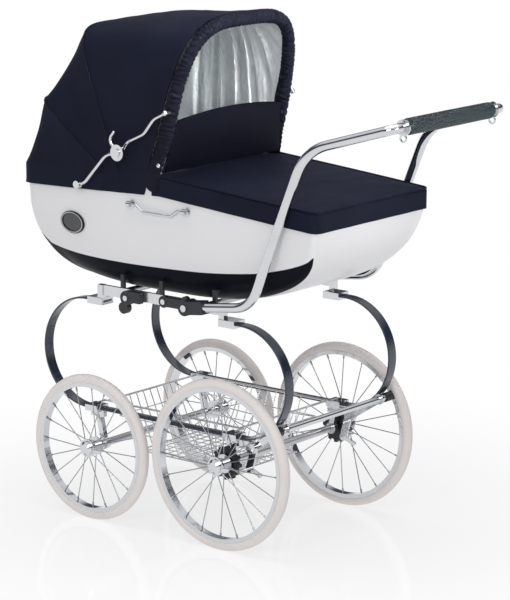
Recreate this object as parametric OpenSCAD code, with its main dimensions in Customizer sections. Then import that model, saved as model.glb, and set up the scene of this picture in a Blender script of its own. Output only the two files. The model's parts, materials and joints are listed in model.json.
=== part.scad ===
// Bassinet pram: sprung chassis on spoked wheels, wire basket, lift-off carrycot
// with a folding hood and a padded apron.
// Millimetres. X runs from the hood end to the handle end, Y across, Z up from the floor.

/* [Wheels] */
// Outer diameter of the rear tyres
rear_wheel_d = 400; // [380:1:404]
// Outer diameter of the front tyres
front_wheel_d = 350; // [330:1:366]
// Distance between the two axles
wheelbase = 392; // [388:1:410]
// Distance between the mid-planes of a left and a right wheel
track = 467; // [455:1:480]
// Thickness of the tyre's round section
tyre_d = 24; // [20:0.5:28]
// Depth of the rim under the tyre
rim_depth = 8; // [6:0.5:12]
// Width of the rim
rim_w = 20; // [16:0.5:22]
// Thickness of a spoke
spoke_d = 2.4; // [1.8:0.1:3]
// Number of spokes in a wheel
spoke_count = 20; // [16:2:28]
// Length of a hub along its axle
hub_l = 40; // [34:1:44]
// Diameter of the hub barrel
hub_d = 22; // [18:1:26]
// Diameter of the hub flanges
flange_d = 44; // [38:1:50]
// Thickness of a hub flange
flange_t = 3; // [2:0.5:4]
// Diameter of the spindle that a wheel turns on
spindle_d = 12; // [10:0.5:14]
// Diameter of the axle between the brackets
axle_d = 18; // [16:0.5:20]

/* [Brake] */
// Outer diameter of the toothed brake discs
brake_disc_d = 78; // [72:1:82]
// Thickness of a brake disc
brake_disc_t = 12; // [8:0.5:13]
// Number of teeth on a brake disc
brake_teeth = 12; // [12:12:24]
// Depth of a tooth gap
tooth_depth = 8; // [7:0.5:9]
// Diameter of the foot bar across the back
brake_bar_d = 15; // [14:0.5:18]
// Diameter of the pawl pins
pawl_d = 6; // [5:0.5:7]

/* [Springs] */
// Width of the leaf spring strip
spring_w = 28; // [24:0.5:30]
// Thickness of the strip
spring_t = 4.5; // [3.5:0.5:6]
// Radius of the bows at the two ends of a spring
spring_bow_r = 131; // [124:1:138]
// How far the centre of each bow lies beyond its axle
spring_overhang = 38; // [34:1:44]
// Height of the lower run above the rear axle
spring_rise = 62; // [58:1:70]
// From a wheel's mid-plane in to the spring's mid-plane
spring_inset = 39.5; // [39:0.5:44]
// Distance between the spring's two upper ends
spring_mouth = 352; // [340:1:380]

/* [Chassis] */
// Height of a side rail
rail_h = 24; // [20:0.5:28]
// Thickness of a side rail
rail_t = 8; // [6:0.5:10]
// Height of the rail's middle above the spring's upper run
rail_lift = 28; // [26:0.5:32]
// How far the rail sits outside the spring's mid-plane
rail_offset = 11; // [9:0.5:13]
// Length of the shackle that holds a spring end
shackle_l = 46; // [40:1:56]
// Diameter of the cross tubes
cross_tube_d = 15; // [12:0.5:16]

/* [Basket] */
// Length of the basket rim
basket_l = 404; // [380:1:420]
// Width of the basket rim
basket_w = 326; // [300:1:332]
// Height of the rim above the floor of the basket
basket_h = 124; // [100:1:132]
// How far each wall leans in at the bottom
basket_lean = 52; // [40:1:60]
// Thickness of the rim wire
basket_rim_d = 5; // [4:0.5:6]
// Thickness of the mesh wires
basket_wire_d = 2.6; // [2:0.1:3]

/* [Handle] */
// Place of the handle hinge behind the middle of the wheelbase
hinge_x = 100; // [92:1:106]
// Half the distance between the two handle legs
handle_y = 231; // [228:0.5:236]
// Diameter of the handle tube
handle_d = 22; // [19:0.5:23]
// Wall of the handle tube
handle_wall = 1.8; // [1.2:0.1:2.5]
// Length of the low run from hinge to bend
low_run = 184; // [176:1:196]
// Rise of the low run
low_rise = 24; // [18:1:32]
// How far a leg leans back
leg_run = 150; // [140:1:165]
// Height of a leg
leg_rise = 369; // [356:1:390]
// Length of the top run to the grip
top_run = 216; // [200:1:235]
// Rise of the top run
top_rise = 64; // [54:1:74]
// Length of the padded grip
grip_l = 322; // [290:1:330]
// Straight tube between a ferrule and the corner bend
grip_end_run = 30; // [26:1:34]
// Diameter of the padded grip
grip_d = 37; // [34:0.5:40]
// Bore of the accessory rings under the grip
ring_bore = 12; // [10:0.5:16]

/* [Carrycot] */
// Length of the tub at its rim
tub_l = 885; // [870:1:900]
// Width of the tub at its rim
tub_w = 432; // [424:1:434]
// Depth of the tub
tub_depth = 278; // [265:1:290]
// Wall of the tub
tub_wall = 5; // [4:0.5:7]
// How far the tub's middle lies behind the middle of the wheelbase
tub_shift = 6; // [2:0.5:12]
// How much lower the rim is at the foot end
rim_foot_drop = 36; // [28:1:42]
// How much lower the rim is at the head end
rim_head_drop = 15; // [10:1:20]
// Height of the feet that stand the carrycot on the rails
cot_foot_h = 32; // [28:1:36]
// Height of the mattress
mattress_h = 36; // [25:1:45]

/* [Apron and hood] */
// Thickness of the apron and the hood cloth
cloth_t = 3; // [2:0.25:3.5]
// How far cloth hems reach down over the tub
hem = 42; // [34:1:46]
// Rise of the apron's top in its middle
apron_crown = 12; // [6:1:18]
// Height of the windbreak on the apron
windbreak_h = 116; // [90:1:130]
// Angle of the rear hood bow from level, measured from the foot end
rear_bow_angle = 144; // [140:1:150]
// Angle of the middle hood bow
mid_bow_angle = 113; // [108:1:120]
// Angle of the hood's front edge
front_bow_angle = 73.5; // [70:0.5:78]
// Length of the hood from its foot to the rear bow
rear_bow_l = 253; // [240:1:265]
// Length of the hood from its foot to the middle bow
mid_bow_l = 352; // [340:1:365]
// Length of the hood's front edge from foot to crown
front_bow_l = 378; // [365:1:390]
// Diameter of the hood bows
bow_d = 6; // [5:0.5:7]
// Width of the gathered binding on the front edge
binding_w = 26; // [22:1:30]
// Number of gathers in the binding
binding_gathers = 64; // [48:1:72]

/* [Hidden] */
$fn = 48;

// Fits shared by all pieces
run_fit = 0.05;
seat_gap = 0.3;
cut = 1;
left = -1;
right = 1;
sides = [left, right];

// Levels and planes
rear_r = rear_wheel_d / 2;
front_r = front_wheel_d / 2;
wheel_y = track / 2;
spring_y = wheel_y - spring_inset;
spring_reach = wheelbase + 2 * spring_overhang;
low_run_z = rear_r + spring_rise;
bow_z = low_run_z + spring_bow_r;
high_run_z = bow_z + spring_bow_r;
rail_z = high_run_z + rail_lift;
rail_y = spring_y + rail_offset;
rail_top_z = rail_z + rail_h / 2;
rail_end_x = spring_mouth / 2 - seat_gap;
tub_sink = 5;
tub_floor_z = rail_top_z - tub_sink;
rim_z = tub_floor_z + tub_depth;
tub_half_l = tub_l / 2;
tub_half_w = tub_w / 2;
cloth_in = seat_gap + seat_gap;
cloth_out = cloth_in + cloth_t;
ferrule_l = 14;
grip_span = grip_l + 2 * (ferrule_l + grip_end_run);
grip_x = hinge_x + low_run + leg_run + top_run;
grip_z = rail_z + low_rise + leg_rise + top_rise;

// The part stands on the middle of its own length
origin_x = (grip_x + grip_d / 2 + tub_shift - tub_half_l - cloth_out) / 2;

// Small helpers
function lerp(a, b, f) = a + (b - a) * f;
function unit(v) = v / norm(v);
function xz(p, y) = [p[0], y, p[1]];
function flip(list) = [for (i = [len(list) - 1 : -1 : 0]) list[i]];
function flat(lists) = [for (l = lists) for (p = l) p];
function power(v, e) = sign(v) * pow(abs(v), e);

module placed() {
    translate([-origin_x, 0, 0]) children();
}

// A straight rod between two points
module rod(p, q, d) {
    v = q - p;
    translate(p)
        rotate([0, acos(v[2] / norm(v)), atan2(v[1], v[0])])
            cylinder(d = d, h = norm(v));
}

// A cylinder along Y between two distances from the middle, on one side
module cross_pin(side, x, z, y0, y1, d) {
    rod([x, side * y0, z], [x, side * y1, z], d);
}

// A flat plate on one side, from an outline drawn in X and Z
module side_plate(side, y0, y1) {
    translate([0, side * (y0 + y1) / 2, 0])
        rotate([90, 0, 0])
            linear_extrude(height = y1 - y0, center = true) children();
}

// A bent tube through points, with a bend radius at each inner point; a wall of zero makes it solid.
// The straight runs are drawn a hair thinner than the bends and end just inside them.
bend_lap = 0.4;
bend_ease = 0.05;

module bent_tube(points, radii, d, wall = 0) {
    last = len(points) - 1;
    ways = [for (i = [0 : last - 1]) unit(points[i + 1] - points[i])];
    turns = [for (i = [1 : last - 1]) acos(ways[i - 1] * ways[i])];
    backs = [for (i = [0 : last]) i == 0 || i == last ? 0 : radii[i - 1] * tan(turns[i - 1] / 2) - bend_lap];
    for (i = [0 : last - 1])
        tube_run(points[i] + ways[i] * backs[i], points[i + 1] - ways[i] * backs[i + 1], d, wall);
    for (i = [1 : last - 1])
        tube_bend(points[i] - ways[i - 1] * (backs[i] + bend_lap), ways[i - 1], ways[i], turns[i - 1],
            radii[i - 1], d, wall);
}

module tube_section(d, wall, ease = 0) {
    difference() {
        circle(d = d - 2 * ease);
        if (wall > 0) circle(d = d - 2 * wall + 2 * ease);
    }
}

module tube_run(p, q, d, wall) {
    v = q - p;
    translate(p)
        rotate([0, acos(v[2] / norm(v)), atan2(v[1], v[0])])
            linear_extrude(height = norm(v)) tube_section(d, wall, bend_ease);
}

module tube_bend(start, way_in, way_out, turn, radius, d, wall) {
    inward = unit(way_out - way_in * (way_in * way_out));
    centre = start + inward * radius;
    up = cross(-inward, way_in);
    multmatrix([
        [-inward[0], way_in[0], up[0], centre[0]],
        [-inward[1], way_in[1], up[1], centre[1]],
        [-inward[2], way_in[2], up[2], centre[2]],
        [0, 0, 0, 1]
    ])
        rotate_extrude(angle = turn)
            translate([radius, 0]) tube_section(d, wall);
}

// A closed skin over rings of equal length, with a fan on the first and last ring
module skin(rings) {
    n = len(rings[0]);
    m = len(rings);
    mid_first = [for (k = [0 : 2]) sum_of(rings[0], k) / n];
    mid_last = [for (k = [0 : 2]) sum_of(rings[m - 1], k) / n];
    walls = [for (i = [0 : m - 2]) for (j = [0 : n - 1]) each quad(
        i * n + j, i * n + (j + 1) % n, (i + 1) * n + (j + 1) % n, (i + 1) * n + j
    )];
    first = [for (j = [0 : n - 1]) [m * n, (j + 1) % n, j]];
    last = [for (j = [0 : n - 1]) [m * n + 1, (m - 1) * n + j, (m - 1) * n + (j + 1) % n]];
    polyhedron(points = concat(flat(rings), [mid_first, mid_last]), faces = concat(walls, first, last));
}

function quad(a, b, c, d) = [[a, b, c], [a, c, d]];
function sum_of(points, k, i = 0) = i == len(points) ? 0 : points[i][k] + sum_of(points, k, i + 1);

// A sheet with thickness: lines of outer points and the matching inner points
module shell(outer, inner) {
    h = len(outer[0]);
    n = 2 * h;
    m = len(outer);
    rings = [for (i = [0 : m - 1]) concat(outer[i], flip(inner[i]))];
    walls = [for (i = [0 : m - 2]) for (j = [0 : n - 1]) each quad(
        i * n + j, i * n + (j + 1) % n, (i + 1) * n + (j + 1) % n, (i + 1) * n + j
    )];
    first = [for (j = [0 : h - 2]) each quad(j + 1, j, n - 1 - j, n - 2 - j)];
    e = (m - 1) * n;
    last = [for (j = [0 : h - 2]) each quad(e + j, e + j + 1, e + n - 2 - j, e + n - 1 - j)];
    polyhedron(points = flat(rings), faces = concat(walls, first, last));
}

// A tube swept along points that lie near one plane, whose normal is given; sizes scale each ring
module sweep(points, normal, half_in, half_across, ring_sides) {
    last = len(points) - 1;
    rings = [for (i = [0 : last])
        let (
            way = unit(points[min(i + 1, last)] - points[max(i - 1, 0)]),
            out = unit(cross(way, normal)),
            across = cross(out, way)
        )
        [for (j = [0 : ring_sides - 1])
            let (turn = 360 * j / ring_sides)
            points[i] + out * half_in[i] * cos(turn) + across * half_across[i] * sin(turn)]
    ];
    skin(rings);
}

// Wheels
front_x = -wheelbase / 2;
rear_x = wheelbase / 2;
tyre_sink = 3;
rim_lip = 2;
rim_lip_t = 1.6;
spoke_bed = 1.5;
hub_in = hub_l / 2;
cap_d = 34;
cap_l = 5;
hub_end_wall = 3;
nipple_d = 4.4;
nipple_l = 11;
flange_inset = 3;

module wheel_place(side, x, r) {
    translate([x, side * wheel_y, r]) rotate([-side * 90, 0, 0]) children();
}

module tyre_profile(r) {
    difference() {
        translate([r - tyre_d / 2, 0]) circle(d = tyre_d);
        rim_profile(r);
        translate([0, -tyre_d]) square([r - tyre_d + tyre_sink, 2 * tyre_d]);
    }
}

module rim_profile(r) {
    seat = r - tyre_d + tyre_sink;
    translate([seat - rim_depth, -rim_w / 2]) square([rim_depth, rim_w]);
    for (side = sides)
        translate([seat - rim_depth / 2, side * (rim_w - rim_lip_t) / 2 - rim_lip_t / 2])
            square([rim_depth / 2 + rim_lip, rim_lip_t]);
}

module tyre(side, x, r) {
    color("#e0dcd9") placed() wheel_place(side, x, r) rotate_extrude() tyre_profile(r);
}

module rim(side, x, r) {
    color("silver") placed() wheel_place(side, x, r) rotate_extrude() rim_profile(r);
}

module spokes(side, x, r) {
    rim_in = r - tyre_d + tyre_sink - rim_depth;
    flange_at = hub_in - flange_inset - flange_t / 2;
    color("silver") placed() wheel_place(side, x, r)
        for (i = [0 : spoke_count - 1])
            rotate([0, 0, 360 * i / spoke_count])
                spoke(i % 2 == 0 ? flange_at : -flange_at, rim_in);
}

module spoke(flange_at, rim_in) {
    start = [flange_d / 2 - spoke_bed, 0, flange_at];
    end = [rim_in + spoke_bed, 0, flange_at * rim_lip / hub_in];
    way = unit(end - start);
    rod(start, end, spoke_d);
    rod(end - way * nipple_l, end, nipple_d);
}

module hub(side, x, r) {
    color("gainsboro") placed() wheel_place(side, x, r)
        difference() {
            union() {
                translate([0, 0, -hub_in]) cylinder(d = hub_d, h = hub_l);
                for (end = sides)
                    translate([0, 0, end * (hub_in - flange_inset - flange_t / 2) - flange_t / 2])
                        cylinder(d = flange_d, h = flange_t);
                translate([0, 0, hub_in - flange_inset]) cylinder(d = cap_d, h = flange_inset);
                translate([0, 0, hub_in]) cylinder(d1 = cap_d, d2 = hub_d, h = cap_l);
            }
            translate([0, 0, -hub_in - cut])
                cylinder(d = spindle_d + 2 * run_fit, h = hub_l + cut + cap_l - hub_end_wall);
        }
}

// Axles
bracket_t = 12;
bracket_y = spring_y - spring_w / 2 + bracket_t / 2 + 2 * seat_gap;
bracket_out = bracket_y + bracket_t / 2;
spindle_end = wheel_y + hub_in + cap_l - hub_end_wall - seat_gap;
collar_d = 16;
collar_gap = 1;

module axle(x, r) {
    color("silver") placed() {
        rod([x, -bracket_out, r], [x, bracket_out, r], axle_d);
        for (side = sides) {
            cross_pin(side, x, r, bracket_out, spindle_end, spindle_d);
            cross_pin(side, x, r, bracket_out, wheel_y - hub_in - brake_disc_t - collar_gap, collar_d);
        }
    }
}

module front_axle() {
    axle(front_x, front_r);
}

module rear_axle() {
    axle(rear_x, rear_r);
}

// Brackets between the axles and the lower run of the springs
eye_d = 28;
clamp_l = 40;
clamp_wall = 5;
clamp_h = spring_t + 2 * clamp_wall;
clamp_z = low_run_z;
front_clamp_x = -spring_reach / 2 + clamp_l / 2;
rear_clamp_x = rear_x + clamp_l / 4;
strut_w = 14;
clamp_under_z = clamp_z - clamp_h / 2;
brake_pivot_back = 56;
brake_pivot_rise = 38;
brake_pivot_x = rear_x + brake_pivot_back;
brake_pivot_z = rear_r + brake_pivot_rise;
brake_pivot_d = 9;
pivot_eye_d = 26;
rear_plate_w = 30;
front_plate_h = 16;

module strut_outline(axle_x, axle_z, top_x) {
    run = [top_x - axle_x, clamp_under_z - axle_z];
    difference() {
        union() {
            translate([axle_x, axle_z]) circle(d = eye_d);
            intersection() {
                translate([axle_x, axle_z])
                    rotate(atan2(run[1], run[0]) - 90)
                        translate([-strut_w / 2, 0]) square([strut_w, norm(run) + strut_w]);
                translate([axle_x - norm(run), axle_z - eye_d]) square([2 * norm(run), run[1] + eye_d]);
            }
            translate([top_x - clamp_l / 2, clamp_under_z - front_plate_h]) square([clamp_l, front_plate_h]);
        }
        translate([axle_x, axle_z]) circle(d = axle_d);
    }
}

module brake_pivot_outline() {
    translate([brake_pivot_x, brake_pivot_z]) circle(d = pivot_eye_d);
    translate([rear_x, clamp_under_z - rear_plate_w / 2])
        square([brake_pivot_x - rear_x, rear_plate_w / 2]);
}

module axle_brackets() {
    color("silver") placed()
        for (side = sides) {
            side_plate(side, bracket_y - bracket_t / 2, bracket_out)
                strut_outline(front_x, front_r, front_clamp_x);
            side_plate(side, bracket_y - bracket_t / 2, bracket_out)
                union() {
                    strut_outline(rear_x, rear_r, rear_clamp_x);
                    brake_pivot_outline();
                }
            cross_pin(side, brake_pivot_x, brake_pivot_z, lever_y - lever_t / 2 - seat_gap,
                bracket_y - bracket_t / 2, brake_pivot_d);
        }
}

// Leaf springs: one strip a side, bowed up at both ends
module bow_outline(r) {
    for (end = sides) translate([end * spring_reach / 2, bow_z]) circle(r = r);
    translate([-spring_reach / 2, bow_z - r]) square([spring_reach, 2 * r]);
}

module leaf_springs() {
    color("#1e2a3a") placed()
        for (side = sides)
            side_plate(side, spring_y - spring_w / 2, spring_y + spring_w / 2)
                difference() {
                    bow_outline(spring_bow_r + spring_t / 2);
                    bow_outline(spring_bow_r - spring_t / 2);
                    translate([-spring_mouth / 2, bow_z]) square([spring_mouth, 2 * spring_bow_r]);
                }
}

module lower_clamps() {
    color("gainsboro") placed()
        for (side = sides, x = [front_clamp_x, rear_clamp_x])
            difference() {
                translate([x, side * spring_y, clamp_z])
                    cube([clamp_l, spring_w + 2 * clamp_wall, clamp_h], center = true);
                translate([x, side * spring_y, clamp_z])
                    cube([clamp_l + 2 * cut, spring_w + 2 * run_fit, spring_t + 2 * run_fit], center = true);
            }
}

// Wire basket: a rim carried on the lower clamps, a floor frame, and mesh wires between them
basket_rim_z = clamp_z + clamp_h / 2 + basket_rim_d / 2;
basket_x = -4;
basket_floor_z = basket_rim_z - basket_h;
basket_frame_d = 4;
wire_rows = 9;
wire_cols = 12;
hoop_shares = [0.3, 0.64];

module basket_rim() {
    hl = basket_l / 2;
    hw = basket_w / 2;
    inner = hw - basket_rim_d / 2 - run_fit;
    outer = hw + basket_rim_d / 2 + run_fit;
    z = basket_rim_z;
    color("silver") placed()
        for (side = sides) {
            rod([front_clamp_x - basket_rim_d, side * hw, z], [rear_clamp_x + basket_rim_d, side * hw, z],
                basket_rim_d);
            rod([basket_x + side * hl, -inner, z], [basket_x + side * hl, inner, z], basket_rim_d);
            for (x = [front_clamp_x, rear_clamp_x])
                rod([x, side * outer, z], [x, side * spring_y, z], basket_rim_d);
        }
}

// A wire that ends just short of the two wires it joins
module mesh_wire(p, q, d0, d1) {
    way = unit(q - p);
    rod(p + way * (d0 / 2 + run_fit), q - way * (d1 / 2 + run_fit), basket_wire_d);
}

// A hoop wire along each wall, inside it, at a share of the way down
module wall_hoop(share) {
    inset = basket_lean * share + (basket_wire_d + run_fit) * norm([basket_lean, basket_h]) / basket_h;
    hl = basket_l / 2 - inset;
    hw = basket_w / 2 - inset;
    z = basket_rim_z - basket_h * share;
    end_gap = basket_wire_d;
    for (side = sides) {
        rod([basket_x - hl + end_gap, side * hw, z], [basket_x + hl - end_gap, side * hw, z], basket_wire_d);
        rod([basket_x + side * hl, -hw + end_gap, z], [basket_x + side * hl, hw - end_gap, z], basket_wire_d);
    }
}

module basket_wires() {
    hl = basket_l / 2;
    hw = basket_w / 2;
    fl = hl - basket_lean;
    fw = hw - basket_lean;
    z = basket_floor_z;
    step = (basket_wire_d + run_fit) / 2;
    inner = fw - basket_frame_d / 2 - run_fit;
    color("silver") placed() {
        for (side = sides) {
            rod([basket_x - fl - basket_frame_d / 2, side * fw, z],
                [basket_x + fl + basket_frame_d / 2, side * fw, z], basket_frame_d);
            rod([basket_x + side * fl, -inner, z], [basket_x + side * fl, inner, z], basket_frame_d);
        }
        for (i = [1 : wire_cols - 1]) {
            x = basket_x + lerp(-fl, fl, i / wire_cols);
            mesh_wire([x, -fw, z + step], [x, fw, z + step], basket_frame_d, basket_frame_d);
            for (side = sides)
                mesh_wire([x, side * hw, basket_rim_z], [x, side * fw, z], basket_rim_d, basket_frame_d);
        }
        for (i = [1 : wire_rows - 1]) {
            y = lerp(-fw, fw, i / wire_rows);
            mesh_wire([basket_x - fl, y, z - step], [basket_x + fl, y, z - step],
                basket_frame_d, basket_frame_d);
            for (end = sides)
                mesh_wire([basket_x + end * hl, y, basket_rim_z], [basket_x + end * fl, y, z],
                    basket_rim_d, basket_frame_d);
        }
        for (share = hoop_shares) wall_hoop(share);
    }
}

// Brake: toothed discs on the rear hubs, and a foot bar with two pawl levers
lever_t = 6;
lever_y = bracket_y - bracket_t / 2 - lever_t / 2 - 2 * seat_gap;
lever_w = 20;
bar_clear = 5;
bar_angle = -42;
bar_out = spring_bow_r + spring_t / 2 + bar_clear + brake_bar_d / 2;
bar_x = spring_reach / 2 + bar_out * cos(bar_angle);
bar_z = bow_z + bar_out * sin(bar_angle);
bar_end = spring_y + spring_w / 2;
bar_cap_d = 22;
bar_eye_wall = 5;
bar_eye_d = brake_bar_d + 2 * bar_eye_wall;
bar_cap_l = 12;
pawl_angle = -17;
pawl_gap = 2;
pawl_out = brake_disc_d / 2 + pawl_gap + pawl_d / 2;
pawl_x = rear_x + pawl_out * cos(pawl_angle);
pawl_z = rear_r + pawl_out * sin(pawl_angle);
pedal_back = 30;
pedal_drop = 12;
pedal_x = pawl_x + pedal_back;
pedal_z = pawl_z - pedal_drop;
disc_y0 = wheel_y - hub_in - brake_disc_t;
disc_y1 = wheel_y - hub_in;

module brake_disc(side) {
    tooth_turn = 360 / brake_teeth;
    gap_d = 2 * tooth_depth;
    color("#101114") placed()
        translate([rear_x, side * (disc_y0 + disc_y1) / 2, rear_r])
            rotate([90, 0, 0])
                linear_extrude(height = brake_disc_t, center = true)
                    difference() {
                        circle(d = brake_disc_d);
                        circle(d = collar_d + 2 * collar_gap);
                        for (i = [0 : brake_teeth - 1])
                            rotate(pawl_angle + tooth_turn * i)
                                translate([brake_disc_d / 2, 0]) circle(d = gap_d * tooth_share);
                    }
}

tooth_share = 0.8;

arm_waist_share = 0.9;

module arm_outline(p, q, w) {
    v = q - p;
    waist = w * arm_waist_share;
    for (c = [p, q]) translate(c) circle(d = w);
    translate(p) rotate(atan2(v[1], v[0])) translate([0, -waist / 2]) square([norm(v), waist]);
}

module brake_levers() {
    pivot = [brake_pivot_x, brake_pivot_z];
    color("silver") placed()
        for (side = sides) {
            side_plate(side, lever_y - lever_t / 2, lever_y + lever_t / 2)
                difference() {
                    union() {
                        arm_outline(pivot, [bar_x, bar_z], lever_w);
                        translate([bar_x, bar_z]) circle(d = bar_eye_d);
                        arm_outline(pivot, [pawl_x, pawl_z], lever_w);
                        arm_outline([pawl_x, pawl_z], [pedal_x, pedal_z], lever_w / 2);
                    }
                    translate(pivot) circle(d = brake_pivot_d + 2 * run_fit);
                    translate([bar_x, bar_z]) circle(d = brake_bar_d);
                }
            cross_pin(side, pawl_x, pawl_z, lever_y + lever_t / 2, disc_y1 - collar_gap, pawl_d);
        }
}

module brake_bar() {
    color("gainsboro") placed()
        difference() {
            rod([bar_x, -bar_end, bar_z], [bar_x, bar_end, bar_z], brake_bar_d);
            rod([bar_x, -bar_end - cut, bar_z], [bar_x, bar_end + cut, bar_z], brake_bar_d - 4 * run_wall);
        }
}

run_wall = 1;

module brake_bar_caps() {
    color("#15171c") placed()
        for (side = sides)
            difference() {
                cross_pin(side, bar_x, bar_z, bar_end - bar_cap_l, bar_end + 2 * clamp_wall, bar_cap_d);
                cross_pin(side, bar_x, bar_z, bar_end - bar_cap_l - cut, bar_end, brake_bar_d);
            }
}

// Upper frame: rails between the shackles, cross tubes, hinge and rivet pins
shackle_wall = 6;
pin_d = 10;
pin_head_d = 16;
pin_head_t = 3;
hinge_z = rail_z;
hook_reach = 82;
hook_x = hinge_x - hook_reach;
latch_fore = 93;
latch_x = -latch_fore;
latch_z = rail_z - rail_h / 4;
rivet_d = 8;
plate_gap = 0.6;
rail_out = rail_y + rail_t / 2;
knuckle_in = rail_out + plate_gap;
knuckle_skin = 2;
knuckle_out = handle_y + handle_d / 2 + knuckle_skin;
hook_t = 10;
latch_t = 14;

module side_rails() {
    color("#c9cacc") placed()
        for (side = sides)
            side_plate(side, rail_y - rail_t / 2, rail_out)
                difference() {
                    translate([-rail_end_x, rail_z - rail_h / 2]) square([2 * rail_end_x, rail_h]);
                    translate([hinge_x, hinge_z]) circle(d = pin_d);
                    translate([hook_x, rail_z]) circle(d = rivet_d);
                    translate([latch_x, latch_z]) circle(d = rivet_d);
                }
}

cross_tube_x_shares = [-0.4, 0.3];
cross_tube_drop = 5;
cross_tube_z = rail_z - cross_tube_drop;

module cross_tubes() {
    inner = rail_y - rail_t / 2;
    color("silver") placed()
        for (share = cross_tube_x_shares)
            rod([share * spring_mouth, -inner, cross_tube_z], [share * spring_mouth, inner, cross_tube_z],
                cross_tube_d);
}

// A shackle clasps a spring end from above and below and carries the rail's end
module spring_shackles() {
    box_w = spring_w + 2 * shackle_wall;
    box_h = spring_t + 2 * shackle_wall;
    riser_l = shackle_l / 3;
    riser_z = (high_run_z + rail_top_z) / 2;
    color("gainsboro") placed()
        for (side = sides, end = sides)
            difference() {
                union() {
                    translate([end * (rail_end_x + shackle_l / 2), side * spring_y, high_run_z])
                        cube([shackle_l, box_w, box_h], center = true);
                    translate([end * (rail_end_x + riser_l / 2), side * rail_y, riser_z])
                        cube([riser_l, rail_t + shackle_wall, rail_top_z - high_run_z], center = true);
                }
                shackle_slot(side, end);
            }
}

// The slot follows the strip: level first, then round the bow
module shackle_slot(side, end) {
    side_plate(side, spring_y - spring_w / 2 - seat_gap, spring_y + spring_w / 2 + seat_gap)
        difference() {
            bow_outline(spring_bow_r + spring_t / 2 + seat_gap);
            bow_outline(spring_bow_r - spring_t / 2 - seat_gap);
            translate([-spring_reach, bow_z - 2 * spring_bow_r]) square([2 * spring_reach, 2 * spring_bow_r]);
            translate([-rail_end_x, bow_z]) square([2 * rail_end_x, 2 * spring_bow_r]);
        }
}

module rivet(side, x, z, inner, outer, d) {
    cross_pin(side, x, z, inner, outer, d);
    cross_pin(side, x, z, outer, outer + pin_head_t, pin_head_d * d / pin_d);
}

module frame_pins() {
    inner = rail_y - rail_t / 2;
    color("gainsboro") placed()
        for (side = sides) {
            rivet(side, hinge_x, hinge_z, inner, knuckle_out + seat_gap, pin_d);
            rivet(side, hook_x, rail_z, inner, knuckle_in + hook_t + seat_gap, rivet_d);
            rivet(side, latch_x, latch_z, inner, knuckle_in + latch_t + seat_gap, rivet_d);
        }
}

// Carrycot latch: a lever with a round thumb lobe under the rail
latch_d = 34;
lobe_d = 28;
lobe_drop = 24;
lobe_back = 8;
latch_arm_l = 42;
latch_arm_h = 26;

module latch(side) {
    color("#15171c") placed()
        side_plate(side, knuckle_in, knuckle_in + latch_t)
            difference() {
                union() {
                    translate([latch_x, latch_z]) circle(d = latch_d);
                    translate([latch_x - lobe_back, latch_z - lobe_drop]) circle(d = lobe_d);
                    translate([latch_x, latch_z + latch_d / 2 - latch_arm_h])
                        square([latch_arm_l, latch_arm_h]);
                }
                translate([latch_x, latch_z]) circle(d = rivet_d + 2 * run_fit);
            }
}

// Fold lock: a hook that lies round the front of the handle knuckle
hook_d = 28;
hook_h = 22;
knuckle_d = 36;
hook_nose_d = 20;

// The shank is short enough for its lower corner to pass the knuckle as the hook lifts
hook_shank = sqrt(pow(hook_reach - knuckle_d / 2 - plate_gap, 2) - pow(hook_h / 2, 2));

module lock_hook(side) {
    color("#15171c") placed()
        side_plate(side, knuckle_in, knuckle_in + hook_t)
            difference() {
                union() {
                    translate([hook_x, rail_z]) circle(d = hook_d);
                    translate([hook_x, rail_z - hook_h / 2]) square([hook_shank, hook_h]);
                    translate([hinge_x - knuckle_d / 2, rail_z + hook_h / 2]) circle(d = hook_nose_d);
                }
                translate([hook_x, rail_z]) circle(d = rivet_d + 2 * run_fit);
                translate([hinge_x, hinge_z]) circle(d = knuckle_d + 2 * plate_gap);
            }
}

// Handle: one bent tube from knuckle to knuckle
knuckle_l = 52;
low_way = unit([low_run, 0, low_rise]);
low_angle = atan2(low_rise, low_run);
low_bend_r = 75;
leg_bend_r = 120;
corner_bend_r = 20;
knuckle_h = 30;

function handle_half(side) = [
    [hinge_x, side * handle_y, hinge_z] + low_way * knuckle_l,
    [hinge_x + low_run, side * handle_y, hinge_z + low_rise],
    [hinge_x + low_run + leg_run, side * handle_y, hinge_z + low_rise + leg_rise],
    [grip_x, side * grip_span / 2, grip_z]
];

module handle_tube() {
    bends = [low_bend_r, leg_bend_r, corner_bend_r, corner_bend_r, leg_bend_r, low_bend_r];
    color("gainsboro") placed()
        bent_tube(concat(handle_half(left), flip(handle_half(right))), bends, handle_d, handle_wall);
}

module handle_knuckles() {
    color("#15171c") placed()
        for (side = sides)
            translate([hinge_x, 0, hinge_z])
                rotate([0, -low_angle, 0])
                    difference() {
                        union() {
                            cross_pin(side, 0, 0, knuckle_in, knuckle_out, knuckle_d);
                            side_plate(side, handle_y - knuckle_h / 2, knuckle_out)
                                translate([0, -knuckle_h / 2]) square([knuckle_l, knuckle_h]);
                        }
                        cross_pin(side, 0, 0, knuckle_in - cut, knuckle_out + cut, pin_d + 2 * run_fit);
                    }
}

// Grip, its end ferrules and the rings that hang from them
grip_round = 6;
ferrule_d = 30;
ring_t = 4;
ring_wall = 3;
ring_d = ring_bore + 2 * ring_wall;
ring_drop = ferrule_d / 2 + ring_wall + ring_bore / 2;

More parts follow.
